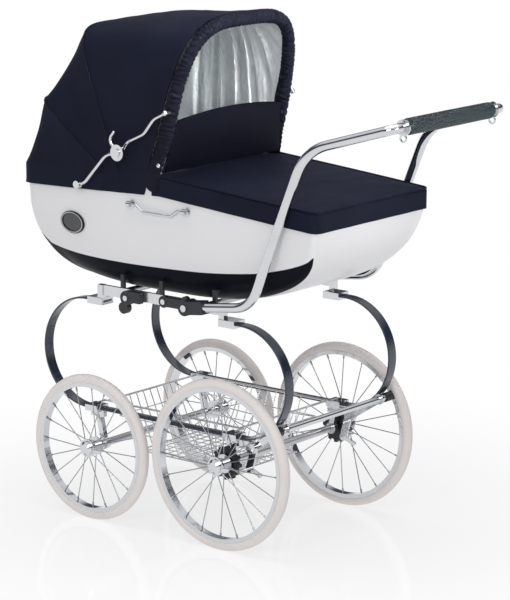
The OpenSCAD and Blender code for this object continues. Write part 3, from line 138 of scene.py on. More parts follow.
class HoodSettings(bpy.types.PropertyGroup):
    rear_angle: FloatProperty(
        name="Rear bow", description="Angle of the rear bow from level",
        default=math.radians(144), subtype="ANGLE")
    middle_angle: FloatProperty(
        name="Middle bow", description="Angle of the middle bow",
        default=math.radians(113), subtype="ANGLE")
    front_angle: FloatProperty(
        name="Front edge", description="Angle of the front edge",
        default=math.radians(73.5), subtype="ANGLE")
    rear_length: FloatProperty(
        name="Rear length", description="From foot to crown of the rear bow", default=0.253, unit="LENGTH")
    middle_length: FloatProperty(
        name="Middle length", description="From foot to crown of the middle bow",
        default=0.352, unit="LENGTH")
    front_length: FloatProperty(
        name="Front length", description="From foot to crown of the front edge",
        default=0.378, unit="LENGTH")
    front_foot: FloatProperty(
        name="Front foot", description="From the pivot forward to the front edge's foot",
        default=0.063, unit="LENGTH")
    hem: FloatProperty(
        name="Hem", description="How far the hem hangs below the rim", default=0.042, unit="LENGTH")
    cloth: FloatProperty(
        name="Cloth", description="Thickness of the cloth", default=0.0026, unit="LENGTH")
    sag: FloatProperty(
        name="Sag", description="How far the cloth falls in between two bows",
        default=0.007, unit="LENGTH")
    lining_gap: FloatProperty(
        name="Lining gap", description="From the outer cloth in to the lining",
        default=0.017, unit="LENGTH")
    lining_fold: FloatProperty(
        name="Lining fold", description="Depth of the folds in the lining", default=0.013, unit="LENGTH")
    binding_width: FloatProperty(
        name="Binding width", description="Width of the gathered binding", default=0.027, unit="LENGTH")
    binding_depth: FloatProperty(
        name="Binding depth", description="Thickness of the gathered binding",
        default=0.03, unit="LENGTH")
    gathers: IntProperty(
        name="Gathers", description="Number of gathers in the binding", default=88, min=20, max=240)
    cloth_colour: FloatVectorProperty(
        name="Cloth colour", description="Colour of hood, apron and windbreak",
        default=(0.0074, 0.009, 0.0195), subtype="COLOR")
    lining_colour: FloatVectorProperty(
        name="Lining colour", description="Colour of the lining",
        default=(0.8, 0.845, 0.89), subtype="COLOR")


class ApronSettings(bpy.types.PropertyGroup):
    front: FloatProperty(
        name="Front", description="From the tub's middle to the apron's front edge",
        default=-0.021, unit="LENGTH")
    crown: FloatProperty(
        name="Crown", description="Rise of the lid in its middle", default=0.012, unit="LENGTH")
    skirt: FloatProperty(
        name="Skirt", description="How far the skirt hangs below the rim", default=0.042, unit="LENGTH")
    windbreak_height: FloatProperty(
        name="Windbreak", description="Height of the windbreak over its seam",
        default=0.116, unit="LENGTH")
    windbreak_lean: FloatProperty(
        name="Lean", description="How far the windbreak's top leans to the foot end",
        default=0.025, unit="LENGTH")


class ChassisSettings(bpy.types.PropertyGroup):
    strip_width: FloatProperty(
        name="Strip width", description="Width of a leaf spring", default=0.028, unit="LENGTH")
    strip_thick: FloatProperty(
        name="Strip thickness", description="Thickness of a leaf spring", default=0.0045, unit="LENGTH")
    spring_colour: FloatVectorProperty(
        name="Spring colour", description="Paint of the leaf springs",
        default=(0.011, 0.02, 0.038), subtype="COLOR")
    tyre_colour: FloatVectorProperty(
        name="Tyre colour", description="Colour of the rubber tyres",
        default=(0.67, 0.635, 0.62), subtype="COLOR")
    grip_colour: FloatVectorProperty(
        name="Grip colour", description="Colour of the leather grip",
        default=(0.018, 0.025, 0.027), subtype="COLOR")
    fitting_colour: FloatVectorProperty(
        name="Fitting colour", description="Colour of the moulded fittings",
        default=(0.011, 0.012, 0.017), subtype="COLOR")


class StageSettings(bpy.types.PropertyGroup):
    camera_place: FloatVectorProperty(
        name="Camera", description="Place of the camera",
        default=(3.9158, -4.868, 1.9), subtype="TRANSLATION")
    camera_azimuth: FloatProperty(
        name="Azimuth", description="Turn of the view round the pram",
        default=math.radians(38.84), subtype="ANGLE")
    camera_pitch: FloatProperty(
        name="Pitch", description="How far the camera looks down",
        default=math.radians(12.35), subtype="ANGLE")
    camera_lens: FloatProperty(
        name="Lens", description="Focal length", default=165.0, subtype="DISTANCE_CAMERA")
    key_power: FloatProperty(
        name="Key", description="Power of the main soft lamp", default=68.0, unit="POWER")
    fill_power: FloatProperty(
        name="Fill", description="Power of the fill lamp", default=5.0, unit="POWER")
    top_power: FloatProperty(
        name="Top", description="Power of the lamp overhead", default=122.0, unit="POWER")
    hood_power: FloatProperty(
        name="Hood", description="Power of the small lamp turned to the hood's opening",
        default=3.2, unit="POWER")
    ambient: FloatProperty(name="Ambient", description="Level of the light from all round", default=0.5)
    floor_colour: FloatVectorProperty(
        name="Floor", description="Colour of the floor", default=(0.93, 0.93, 0.935), subtype="COLOR")


def settings(name):
    """One settings group of the scene."""
    return getattr(bpy.context.scene, "pram_" + name)


# Lines and grids

def hermite(t, a, b, leave, arrive):
    """From a to b, leaving and arriving along the given ways."""
    return (
        (2 * t**3 - 3 * t**2 + 1) * a + (t**3 - 2 * t**2 + t) * leave
        + (3 * t**2 - 2 * t**3) * b + (t**3 - t**2) * arrive
    )


def eased(places, values, at):
    """A smooth curve through a table that doesn't overshoot it."""
    places = np.asarray(places, float)
    values = np.asarray(values, float)
    step = np.diff(places)
    rise = np.diff(values) / step
    slope = np.zeros(len(places))
    slope[0], slope[-1] = rise[0], rise[-1]
    same = rise[:-1] * rise[1:] > 0
    slope[1:-1][same] = 2 * rise[:-1][same] * rise[1:][same] / (rise[:-1] + rise[1:])[same]
    at = np.clip(np.asarray(at, float), places[0], places[-1])
    k = np.clip(np.searchsorted(places, at, side="right") - 1, 0, len(places) - 2)
    t = (at - places[k]) / step[k]
    return hermite(t, values[k], values[k + 1], step[k] * slope[k], step[k] * slope[k + 1])


def smooth(t):
    """A soft step from 0 to 1."""
    t = np.clip(t, 0, 1)
    return t * t * (3 - 2 * t)


def unit(ways):
    """Each vector at length 1."""
    return ways / np.maximum(np.linalg.norm(ways, axis=-1, keepdims=True), 1e-9)


def round_turn(count):
    """Evenly spaced angles of one whole turn."""
    return np.linspace(0, 2 * math.pi, count, endpoint=False)


def run_along(points):
    """The way covered at each point of a line."""
    return np.concatenate([[0], np.cumsum(np.linalg.norm(np.diff(points, axis=0), axis=1))])


def resample(points, count):
    """The same line with its points evenly spaced along it."""
    points = np.asarray(points, float)
    run = run_along(points)
    at = np.linspace(0, run[-1], count)
    return np.stack([np.interp(at, run, points[:, k]) for k in range(points.shape[1])], axis=1)


def relaxed(points, passes):
    """The line with its kinks eased, its ends held."""
    points = np.array(points, float)
    for _ in range(passes):
        points[1:-1] = points[1:-1] / 2 + (points[:-2] + points[2:]) / 4
    return points


def rim_drop(x):
    """How far the rim lies below its highest point."""
    group = settings("tub")
    share = (np.asarray(x, float) - TUB_X) / TUB_HALF_L
    return np.where(share > 0, group.rim_foot_drop * share, -group.rim_head_drop * share)


def rim_height(x):
    return RIM_Z - rim_drop(x)


def depth_z(share, x):
    """Height of a depth share; near the rim it follows the rim's drop."""
    return RIM_Z - TUB_DEPTH * share - rim_drop(x) * np.clip(1 - share / DEPTH_SHARES[1], 0, 1)


def half_outline(end, start, share, off, side=30, corner=14, across=18):
    """Round one end of the tub from its left to its right side; also the way past the corner's middle."""
    lengths, widths, corners = (
        (FOOT_LENGTH_SHARES, FOOT_WIDTH_SHARES, FOOT_CORNER_SHARES) if end > 0
        else (HEAD_LENGTH_SHARES, HEAD_WIDTH_SHARES, HEAD_CORNER_SHARES))

    def size(whole, shares):
        return whole * float(eased(DEPTH_SHARES, shares, share)) + off

    half_l = size(TUB_HALF_L, lengths)
    half_w = size(TUB_HALF_W, WIDTH_SHARES)
    end_w = size(TUB_HALF_W, widths)
    radius = max(size(TUB_HALF_W, corners), CORNER_LEAST)

    def barrel(x):
        return end_w + (half_w - end_w) * (1 - (np.abs(x - TUB_X) / half_l) ** BARREL_POWER)

    turn_x = TUB_X + end * (half_l - radius)
    turn_y = float(barrel(turn_x)) - radius
    xs = np.linspace(start, turn_x, side, endpoint=False)
    near = np.stack([xs, -barrel(xs)], axis=1)
    turn = np.linspace(0, math.pi / 2, corner)
    bend = np.stack([turn_x + end * radius * np.sin(turn), -turn_y - radius * np.cos(turn)], axis=1)
    face = np.linspace(-turn_y, 0, across)[1:]
    flat = np.stack([np.full(len(face), TUB_X + end * half_l), face], axis=1)
    half = np.concatenate([near, bend, flat])
    line = relaxed(np.concatenate([half, (half * [1, -1])[-2::-1]]), 3)
    run = run_along(half)
    past = run[side + corner // 2] - run
    return line, np.concatenate([past, past[-2::-1]])


def whole_outline(share, off):
    """The outline all round, starting on the left and running past the foot end."""
    foot, foot_past = half_outline(1, TUB_X, share, off)
    head, head_past = half_outline(-1, TUB_X, share, off)
    line = np.concatenate([foot, head[-2:0:-1]])
    return line, np.concatenate([foot_past, head_past[-2:0:-1]])


def grid_normals(grid):
    across = np.gradient(grid, axis=1)
    along = np.gradient(grid, axis=0)
    return unit(np.cross(across, along))


def ripple(points, scale, amount):
    """A smooth random height at each point."""
    flat = points.reshape(-1, 3) * scale
    height = np.array([noise.noise(Vector(p)) for p in flat])
    return height.reshape(points.shape[:-1]) * amount


# Meshes

def lay_uv(mesh, coords):
    """Gives each point its place on the cloth as the UV map."""
    layer = mesh.uv_layers.new(name="cloth")
    corners = np.zeros(len(mesh.loops), np.int32)
    mesh.loops.foreach_get("vertex_index", corners)
    layer.data.foreach_set("uv", np.asarray(coords, np.float32)[corners].ravel())


def mesh_object(name, points, faces, coords, sharp=SHARP_EDGE):
    """A mesh with outward faces, soft shading and lengths along the cloth as its UV map."""
    mesh = bpy.data.meshes.new(name)
    mesh.from_pydata([tuple(p) for p in points], [], [tuple(f) for f in faces])
    work = bmesh.new()
    work.from_mesh(mesh)
    bmesh.ops.recalc_face_normals(work, faces=work.faces)
    work.to_mesh(mesh)
    work.free()
    lay_uv(mesh, coords)
    mesh.shade_smooth()
    mesh.set_sharp_from_angle(angle=math.radians(sharp))
    made = bpy.data.objects.new(name, mesh)
    bpy.context.scene.collection.objects.link(made)
    return made


def grid_coords(grid):
    """Lengths across and along a grid, for its UV map."""
    across = np.linalg.norm(np.diff(grid, axis=1), axis=2).cumsum(axis=1)
    along = np.linalg.norm(np.diff(grid, axis=0), axis=2).cumsum(axis=0)
    u = np.concatenate([np.zeros((grid.shape[0], 1)), across], axis=1)
    u = u - u[:, -1:] / 2
    v = np.concatenate([np.zeros((1, grid.shape[1])), along], axis=0)
    return np.stack([u, np.broadcast_to(v.mean(axis=1, keepdims=True), u.shape)], axis=2)


def two_faced(name, over, under, grid):
    """A closed sheet with an upper and an under face; its UV map is laid along the grid."""
    rows, cols = grid.shape[:2]
    count = rows * cols
    index = np.arange(count).reshape(rows, cols)
    faces = []
    for i in range(rows - 1):
        for j in range(cols - 1):
            a, b, c, d = index[i, j], index[i, j + 1], index[i + 1, j + 1], index[i + 1, j]
            faces += [(a, b, c, d), (d + count, c + count, b + count, a + count)]
    edge = [*index[0, :], *index[1:, -1], *index[-1, -2::-1], *index[-2:0:-1, 0]]
    for a, b in zip(edge, edge[1:] + edge[:1]):
        faces.append((b, a, a + count, b + count))
    points = np.concatenate([over.reshape(-1, 3), under.reshape(-1, 3)])
    coords = grid_coords(grid).reshape(-1, 2)
    return mesh_object(name, points, faces, np.concatenate([coords, coords]))


def sheet_object(name, grid, thick, outward):
    """A thin sheet: the grid is its outer face, and a second face lies under it."""
    normal = grid_normals(grid)
    middle = grid.reshape(-1, 3).mean(axis=0)
    if ((grid - middle) * normal).sum() * outward < 0:
        normal = -normal
    return two_faced(name, grid, grid - normal * thick, grid)


def loft_object(name, rings, sharp=SHARP_EDGE):
    """Closed rings skinned one after another, with both ends shut."""
    rings = np.asarray(rings, float)
    rows, cols = rings.shape[:2]
    index = np.arange(rows * cols).reshape(rows, cols)
    faces = []
    for i in range(rows - 1):
        for j in range(cols):
            k = (j + 1) % cols
            faces.append((index[i, j], index[i, k], index[i + 1, k], index[i + 1, j]))
    faces += [tuple(index[0, ::-1]), tuple(index[-1])]
    return mesh_object(name, rings.reshape(-1, 3), faces, grid_coords(rings).reshape(-1, 2), sharp)


def tube_rings(path, normal, half_in, half_across, sides):
    """Rings of an oval tube along a path; normal is the direction of half_across."""
    path = np.asarray(path, float)
    across = np.broadcast_to(np.asarray(normal, float), path.shape)
    inward = unit(np.cross(unit(np.gradient(path, axis=0)), across))
    turn = round_turn(sides)
    half_in = np.broadcast_to(half_in, (len(path), sides))
    half_across = np.broadcast_to(half_across, (len(path), sides))
    return (
        path[:, None] + inward[:, None] * (half_in * np.cos(turn))[..., None]
        + across[:, None] * (half_across * np.sin(turn))[..., None]
    )


def joined(name, pieces):
    """Several meshes made into one object."""
    first = pieces[0]
    work = bmesh.new()
    for piece in pieces:
        work.from_mesh(piece.data)
    work.to_mesh(first.data)
    work.free()
    first.data.set_sharp_from_angle(angle=math.radians(SHARP_EDGE))
    for piece in pieces[1:]:
        spare = piece.data
        bpy.data.objects.remove(piece)
        bpy.data.meshes.remove(spare)
    first.name = name
    return first


# Padding

def shaped(made):
    """Keeps what the piece's modifiers make of it."""
    graph = bpy.context.evaluated_depsgraph_get()
    mesh = bpy.data.meshes.new_from_object(made.evaluated_get(graph))
    made.modifiers.clear()
    spare = made.data
    made.data = mesh
    bpy.data.meshes.remove(spare)


def mesh_points(mesh):
    points = np.zeros(len(mesh.vertices) * 3)
    mesh.vertices.foreach_get("co", points)
    return points.reshape(-1, 3)


def puffed(made, voxel, cap, lay, seam):
    """Blows a closed pad up from inside, held along its seam; lay names the axes of its UV map."""
    scene = bpy.context.scene
    frames = 20
    remesh = made.modifiers.new("skin", "REMESH")
    remesh.mode = "VOXEL"
    remesh.voxel_size = voxel
    shaped(made)
    before = mesh_points(made.data)
    gap = np.linalg.norm(before[:, None] - seam[None], axis=2).min(axis=1)
    held = made.vertex_groups.new(name="seam")
    held.add(np.flatnonzero(gap < 2 * voxel).tolist(), 1.0, "REPLACE")
    cloth = made.modifiers.new("fill", "CLOTH")
    cloth.settings.use_pressure = True
    cloth.settings.uniform_pressure_force = 4.0
    cloth.settings.effector_weights.gravity = 0.0
    cloth.settings.quality = 6
    cloth.settings.vertex_group_mass = held.name
    cloth.point_cache.frame_start = 1
    cloth.point_cache.frame_end = frames
    for step in range(1, frames + 1):
        scene.frame_set(step)
    shaped(made)
    way = mesh_points(made.data) - before
    size = np.linalg.norm(way, axis=1, keepdims=True)
    points = before + way * np.minimum(1, cap / np.maximum(size, 1e-9))
    made.data.vertices.foreach_set("co", points.ravel())
    scene.frame_set(1)
    made.vertex_groups.clear()
    smoother = made.modifiers.new("round", "SUBSURF")
    smoother.levels = smoother.render_levels = 1
    shaped(made)
    lay_uv(made.data, mesh_points(made.data)[:, lay])
    made.data.shade_smooth()


# Finishes

def maths(operation):
    """The same sum for a socket on its left and for one on its right."""
    def plain(self, other):
        return self.node("ShaderNodeMath", {0: self, 1: other}, operation=operation)

    def reflected(self, other):
        return self.node("ShaderNodeMath", {0: other, 1: self}, operation=operation)

    return plain, reflected


class Flow:
    """A node socket that takes part in sums; plain numbers mix in."""

    def __init__(self, tree, socket=None):
        self.tree = tree
        self.socket = socket

    def node(self, kind, inputs=(), out=0, stops=None, **options):
        """A new node with its settings, its ramp's stops and the values or links of its sockets."""
        made = self.tree.nodes.new(kind)
        for key, value in options.items():
            setattr(made, key, value)
        if stops:
            ramp = made.color_ramp
            while len(ramp.elements) < len(stops):
                ramp.elements.new(0.5)
            for element, (place, colour) in zip(ramp.elements, stops):
                element.position = place
                element.color = colour
        for key, value in dict(inputs).items():
            if isinstance(value, Flow):
                self.tree.links.new(value.socket, made.inputs[key])
            else:
                made.inputs[key].default_value = value
        return Flow(self.tree, made.outputs[out])

    __add__, __radd__ = maths("ADD")
    __sub__, __rsub__ = maths("SUBTRACT")
    __mul__, __rmul__ = maths("MULTIPLY")
    __truediv__, __rtruediv__ = maths("DIVIDE")


def rgba(colour, level=1.0):
    return (*[min(1.0, c * level) for c in colour], 1.0)


def ramp(flow, low, high):
    """0 below low, 1 above high, soft between."""
    return flow.node(
        "ShaderNodeMapRange", {"Value": flow, "From Min": low, "From Max": high},
        interpolation_type="SMOOTHSTEP")


def mixed(flow, a, b):
    """Colour a where the flow is 0, b where it is 1."""
    return flow.node("ShaderNodeMix", {0: flow, 6: a, 7: b}, out=2, data_type="RGBA")


def shaded(flow, colour, low, high):
    """The colour at its low level where the flow is 0, at its high level where it is 1."""
    return mixed(flow, rgba(colour, low), rgba(colour, high))


def about(level, flow, spread):
    """A level that the flow moves up and down within the spread."""
    return level + (flow - 0.5) * spread


def grain(place, scale, detail=3.0, stretch=None):
    """Soft noise from 0 to 1."""
    if stretch:
        place = place.node("ShaderNodeVectorMath", {0: place, 1: stretch}, operation="MULTIPLY")
    return place.node("ShaderNodeTexNoise", {"Vector": place, "Scale": scale, "Detail": detail})


def axes(place):
    """The three parts of a place."""
    first = place.node("ShaderNodeSeparateXYZ", {0: place})
    return [Flow(place.tree, socket) for socket in first.socket.node.outputs]


def new_finish(name, **constants):
    """A material, the start of its maths and a way to set its shader's inputs."""
    made = bpy.data.materials.new(name)
    made.use_nodes = True
    tree = made.node_tree
    shader = next(n for n in tree.nodes if n.type == "BSDF_PRINCIPLED")

    def give(socket, value):
        if isinstance(value, Flow):
            tree.links.new(value.socket, shader.inputs[socket])
        else:
            shader.inputs[socket].default_value = value

    for socket, value in constants.items():
        give(socket.replace("_", " "), value)
    return made, Flow(tree), give


def bump(height, strength, distance):
    return height.node("ShaderNodeBump", {"Strength": strength, "Distance": distance, "Height": height})


def object_place(start):
    return start.node("ShaderNodeTexCoord", out="Object")


def weave(place, pitch):
    """Height of a plain weave laid along the cloth's own lengths."""
    turn = 2 * math.pi / pitch
    x, y = [place.node("ShaderNodeMath", {0: part * turn}, operation="SINE") for part in axes(place)[:2]]
    return x * y


def cloth_finish(name, colour, roughness, shine, pitch=0.0022):
    """Close-woven cloth with a faint slub and soft creases."""
    made, start, give = new_finish(name, Specular_IOR_Level=shine)
    place = start.node("ShaderNodeTexCoord", out="UV")
    slub = grain(place, 60.0, 4.0, (1.0, 5.0, 1.0))
    cloud = grain(object_place(start), 9.0, 2.0)
    tone = slub * 0.5 + cloud * 0.5
    give("Base Color", shaded(ramp(tone, 0.3, 0.7), colour, 0.82, 1.2))
    give("Roughness", about(roughness, slub, 0.16))
    height = weave(place, pitch) * 0.35 + slub * 0.5 + cloud * 3.0
    give("Normal", bump(height, 0.35, 0.0012))
    return made


def hull_finish():
    """Gloss paint, white above and dark in the band low on the sides."""
    group = settings("tub")
    made, start, give = new_finish("hull_paint", Coat_Roughness=0.08, Specular_IOR_Level=0.03)
    band = start.node("ShaderNodeAttribute", out="Fac", attribute_name="band")
    mask = ramp(band, -0.0006, 0.0006)
    cloud = grain(object_place(start), 7.0, 2.0)
    give("Base Color", mixed(mask, shaded(cloud, group.shell_colour, 0.985, 1.015), rgba(group.band_colour)))
    give("Roughness", 0.3 + cloud * 0.08)
    give("Coat Weight", 0.14 - mask * 0.13)
    peel = grain(object_place(start), 240.0, 1.0)
    give("Normal", bump(peel, 0.03, 0.0004))
    return made


def plated_finish(name, colour, roughness):
    """Bright plating with faint wiping marks."""
    made, start, give = new_finish(name, Metallic=1.0)
    place = object_place(start)
    smear = grain(place, 26.0, 4.0)
    fine = grain(place, 140.0, 2.0)
    give("Base Color", shaded(smear, colour, 0.93, 1.04))
    give("Roughness", about(about(roughness, smear, 0.08), fine, 0.03))
    return made


def painted_finish(name, colour, roughness, coat):
    """Smooth paint with a slight waviness."""
    made, start, give = new_finish(name, Coat_Weight=coat, Coat_Roughness=0.08)
    place = object_place(start)
    cloud = grain(place, 18.0, 3.0)
    give("Base Color", shaded(cloud, colour, 0.85, 1.15))
    give("Roughness", about(roughness, cloud, 0.12))
    give("Normal", bump(grain(place, 180.0, 1.0), 0.04, 0.0005))
    return made


def moulded_finish(name, colour):
    """Moulded plastic with a fine pebbled skin."""
    made, start, give = new_finish(name, Specular_IOR_Level=0.5)
    place = object_place(start)
    cloud = grain(place, 30.0, 3.0)
    pebble = place.node("ShaderNodeTexVoronoi", {"Vector": place, "Scale": 900.0})
    give("Base Color", shaded(cloud, colour, 0.8, 1.25))
    give("Roughness", about(0.42, cloud, 0.15))
    give("Normal", bump(pebble, 0.12, 0.0004))
    return made


def rubber_finish():
    """Cream rubber, a little cloudy and finely specked."""
    made, start, give = new_finish("tyre_rubber", Specular_IOR_Level=0.35)
    place = object_place(start)
    cloud = grain(place, 14.0, 4.0)
    speck = grain(place, 320.0, 2.0)
    give("Base Color", shaded(cloud, settings("chassis").tyre_colour, 0.93, 1.06))
    give("Roughness", about(0.52, cloud, 0.2))
    give("Normal", bump(speck, 0.08, 0.0004))
    return made


def leather_finish():
    """Dark leather with a pebbled grain."""
    made, start, give = new_finish("grip_leather", Specular_IOR_Level=0.1)
    place = object_place(start)
    cell = place.node("ShaderNodeTexVoronoi", {"Vector": place, "Scale": 420.0}, feature="SMOOTH_F1")
    cloud = grain(place, 40.0, 4.0)
    tone = cell * 0.6 + cloud * 0.4
    give("Base Color", shaded(ramp(tone, 0.15, 0.7), settings("chassis").grip_colour, 0.7, 1.35))
    give("Roughness", about(0.5, cloud, 0.2))
    give("Normal", bump(cell, 0.4, 0.0008))
    return made


def badge_finish():
    """Dark enamel with a bright ring."""
    low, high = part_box("badge")
    made, start, give = new_finish("badge_enamel", Coat_Weight=0.6, Coat_Roughness=0.05)
    place = object_place(start)
    x, _, z = axes(place)
    x = (x - (low.x + high.x) / 2) / ((high.x - low.x) / 2)
    z = (z - (low.z + high.z) / 2) / ((high.z - low.z) / 2)
    radius = place.node("ShaderNodeMath", {0: x * x + z * z, 1: 0.5}, operation="POWER")
    ring = ramp(radius, 0.845, 0.86) * (1 - ramp(radius, 0.895, 0.91))
    cloud = grain(place, 60.0)
    enamel = mixed(cloud, rgba((0.004, 0.005, 0.009)), rgba((0.008, 0.01, 0.018)))
    give("Base Color", mixed(ring, enamel, rgba((0.5, 0.5, 0.52))))
    give("Metallic", ring)
    give("Roughness", 0.2 + cloud * 0.08)
    return made


def ticking_finish():
    """Cotton ticking of the mattress."""
    made, start, give = new_finish("mattress_cotton", Sheen_Weight=0.2)
    place = object_place(start)
    cloud = grain(place, 30.0, 4.0)
    thread = grain(place, 500.0, 2.0, (1.0, 0.25, 1.0))
    give("Base Color", shaded(cloud, settings("tub").mattress_colour, 0.93, 1.05))
    give("Roughness", about(0.8, thread, 0.2))
    give("Normal", bump(thread, 0.25, 0.0006))
    return made


FINISH_OF_SLOT = {}


def make_finishes():
    """Makes every finish, under the record's slot or the name of the pieces that it is for."""
    hood = settings("hood")
    chassis = settings("chassis")

    def darker(share):
        return [c * share for c in hood.cloth_colour]

    FINISH_OF_SLOT.update({
        "chrome": plated_finish("chrome_plate", (0.64, 0.65, 0.67), 0.1),
        "steel": plated_finish("bright_steel", (0.58, 0.58, 0.6), 0.3),
        "rail_metal": plated_finish("rail_metal", (0.66, 0.67, 0.69), 0.24),
        "spoke": plated_finish("spoke_wire", (0.4, 0.41, 0.43), 0.22),
        "tyre": rubber_finish(),
        "brake_black": moulded_finish("brake_black", (0.008, 0.0085, 0.011)),
        "black_plastic": moulded_finish("fitting_black", chassis.fitting_colour),
        "spring_paint": painted_finish("spring_paint", chassis.spring_colour, 0.26, 0.5),
        "grip_leather": leather_finish(),
        "tub_shell": hull_finish(),
        "badge": badge_finish(),
        "mattress": ticking_finish(),
        "lining": cloth_finish("lining_cotton", hood.lining_colour, 0.85, 0.1, 0.0016),
        "navy_cloth": cloth_finish("navy_cloth", hood.cloth_colour, 0.6, 0.06),
        "binding": cloth_finish("binding_cloth", darker(0.7), 0.62, 0.1, 0.0018),
        # Painted shade: the windbreak's cloth is the hood's colour at 0.45, darkened to stand in for the shade it
        # lies in
        "windbreak": cloth_finish("windbreak_cloth_painted_shade", darker(0.45), 0.62, 0.05),
    })


def dress(made, finish):
    """Gives a made piece its finish."""
    made.data.materials.clear()
    made.data.materials.append(FINISH_OF_SLOT[finish])


# Lines of the hood

def bow(k):
    """Angle and length of a bow, counted from the rear."""
    group = settings("hood")
    angles = (group.rear_angle, group.middle_angle, group.front_angle)
    lengths = (group.rear_length, group.middle_length, group.front_length)
    return angles[k], lengths[k]


def square_to(angle):
    """The way forward, square to a bow at this angle."""
    return math.sin(angle), 0, -math.cos(angle)


def bow_foot(k):
    """Where a bow's line meets the rim, along the tub."""
    if k == FRONT:
        return HOOD_PIVOT.x + settings("hood").front_foot
    return HOOD_PIVOT.x + (RIM_Z + CLOTH_UP - HOOD_PIVOT.z) / math.tan(bow(k)[0])


def arch_line(k, count, inward=0.0, forward=0.0):
    """Evenly spaced points of a bow's arch, from its left foot to its right foot."""
    angle, length = bow(k)
    power = 2 / ARCH_POWERS[k]
    turn = np.linspace(0, math.pi, 721)
    rise = np.abs(np.sin(turn)) ** power
    swing = np.sign(np.cos(turn)) * np.abs(np.cos(turn)) ** power
    run = (length - inward) * rise
    y = -(TUB_HALF_W + CLOTH_OUT - inward) * swing * (1 - ARCH_TAPER_SHARE * rise)
    x = bow_foot(k) + run * math.cos(angle) + forward * math.sin(angle)
    z = RIM_Z + CLOTH_UP + run * math.sin(angle) - forward * math.cos(angle)
    return resample(np.column_stack([x, y, z]), count)


def base_line(count, off, lift):
    """The line round the head end, at the rim or off it."""
    line, _ = half_outline(-1, bow_foot(0), 0, off)
    line = resample(line, count)
    return np.column_stack([line, rim_height(line[:, 0]) + lift])


def hood_columns(count, inward):
    """The four lines that the hood's cloth passes through, from the base round the head to the front edge."""
    return [base_line(count, CLOTH_OUT - inward, CLOTH_UP), *[arch_line(k, count, inward) for k in range(3)]]


def hood_span(lines, k, rows, sag):
    """Rows of cloth between line k and the next: rounded over the bows, hollow between them."""
    reach_share, full_sag_span = 0.55, 0.16
    ways = [lines[i + 1] - lines[i] for i in range(3)]
    units = [unit(way) for way in ways]
    tangents = [units[0], unit(units[0] + units[1]), unit(units[1] + units[2]), units[2]]
    size = np.linalg.norm(ways[k], axis=1, keepdims=True)
    reach = reach_share * size
    t = np.linspace(0, 1, rows)[:, None, None]
    grid = hermite(t, lines[k], lines[k + 1], tangents[k] * reach, tangents[k + 1] * reach)
    normal = grid_normals(grid)
    centre = np.array([HOOD_PIVOT.x, 0, RIM_Z])
    normal = normal * np.sign(((grid - centre) * normal).sum(axis=2, keepdims=True))
    share = np.linspace(0, 1, grid.shape[1])
    held = np.clip(np.sin(math.pi * share) * 1.6, 0, 1)[None, :, None]
    dip = (4 * t * (1 - t)) ** 1.5
    span = np.clip(size / full_sag_span, 0, 1)[None]
    return grid - normal * dip * held * span * sag, normal


def bend_span(made):
    """Bakes the span's placement into its mesh."""
    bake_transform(made)


def hood_cloth(k, rows, cols):
    """One span of the outer cloth with its hem, between two bows."""
    name, bodies, bows = SPANS[k]
    group = settings("hood")
    grid, normal = hood_span(hood_columns(cols, 0.0), k, rows, group.sag)
    t = np.linspace(0, 1, rows)
    fade = (np.sin(math.pi * t) ** 0.7)[:, None]
    crease = ripple(grid * [1.0, 1.6, 1.0], 16.0, 0.0022) + ripple(grid, 5.0, 0.003)
    grid = grid + normal * (crease * fade)[..., None]
    if k == 0:
        turned_up = 0.001
        depth = np.linspace(-group.hem, CLOTH_UP, 6)[:-1]
        hems = [base_line(cols, CLOTH_OUT + turned_up * (i == 0), d) for i, d in enumerate(depth)]
        grid = np.concatenate([np.stack(hems), grid])
    else:
        drop = np.full(rows, group.hem)
        if k == FRONT:
            drop = group.hem * (1 - 0.6 * smooth((t - 0.84) / 0.16))
        fall = rim_height(grid[:, 0, 0]) - drop
        sides = []
        for foot in (grid[:, :1], grid[:, -1:]):
            steps = []
            for f in np.linspace(1, 0, 7)[:-1]:
                point = foot.copy()
                point[:, 0, 2] = foot[:, 0, 2] * (1 - f) + fall * f
                steps.append(point)
            sides.append(steps)
        grid = np.concatenate([*sides[0], grid, *sides[1][::-1]], axis=1)
    made = sheet_object("hood_cloth_" + name, grid, group.cloth, 1)
    dress(made, "navy_cloth")
    bend_span(made)
    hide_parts("hood_" + name)


def lining_span(k, rows, cols):
    """One span of the gathered lining inside the hood."""
    name, bodies, bows = SPANS[k]
    group = settings("hood")
    cotton, sag, tucked_in, tucked_down = 0.0016, 0.004, 0.006, 0.06
    lines = hood_columns(cols, group.lining_gap)
    if k == 0:
        lines[0] = base_line(cols, -settings("tub").wall - tucked_in, -tucked_down)
    grid, normal = hood_span(lines, k, rows, sag)
    share = np.linspace(0, 1, cols)
    t = np.linspace(0, 1, rows)
    hang = np.arctan2(grid[..., 1], grid[..., 0] - HOOD_PIVOT.x - 0.02)
    drift = ripple(grid * [1.0, 1.0, 0.35], 7.0, 1.0)
    fold = 0.62 * np.sin(hang * 34 + drift * 2.6) + 0.38 * np.sin(hang * 59 + drift * 4.4 + 1.3)
    wall = smooth((1.02 - np.abs(normal[..., 2])) / 0.5)
    calm = np.clip(np.sin(math.pi * share) * 9, 0.15, 1)[None, :]
    held = 1 - 0.75 * smooth((t - 0.75) / 0.25) if k == FRONT else np.ones(rows)
    deep = group.lining_fold * wall * calm * held[:, None]
    grid = grid - normal * (deep * (0.5 + 0.5 * fold))[..., None]
    made = sheet_object("lining_" + name, grid, cotton, -1)
    dress(made, "lining")
    bend_span(made)


# Operators

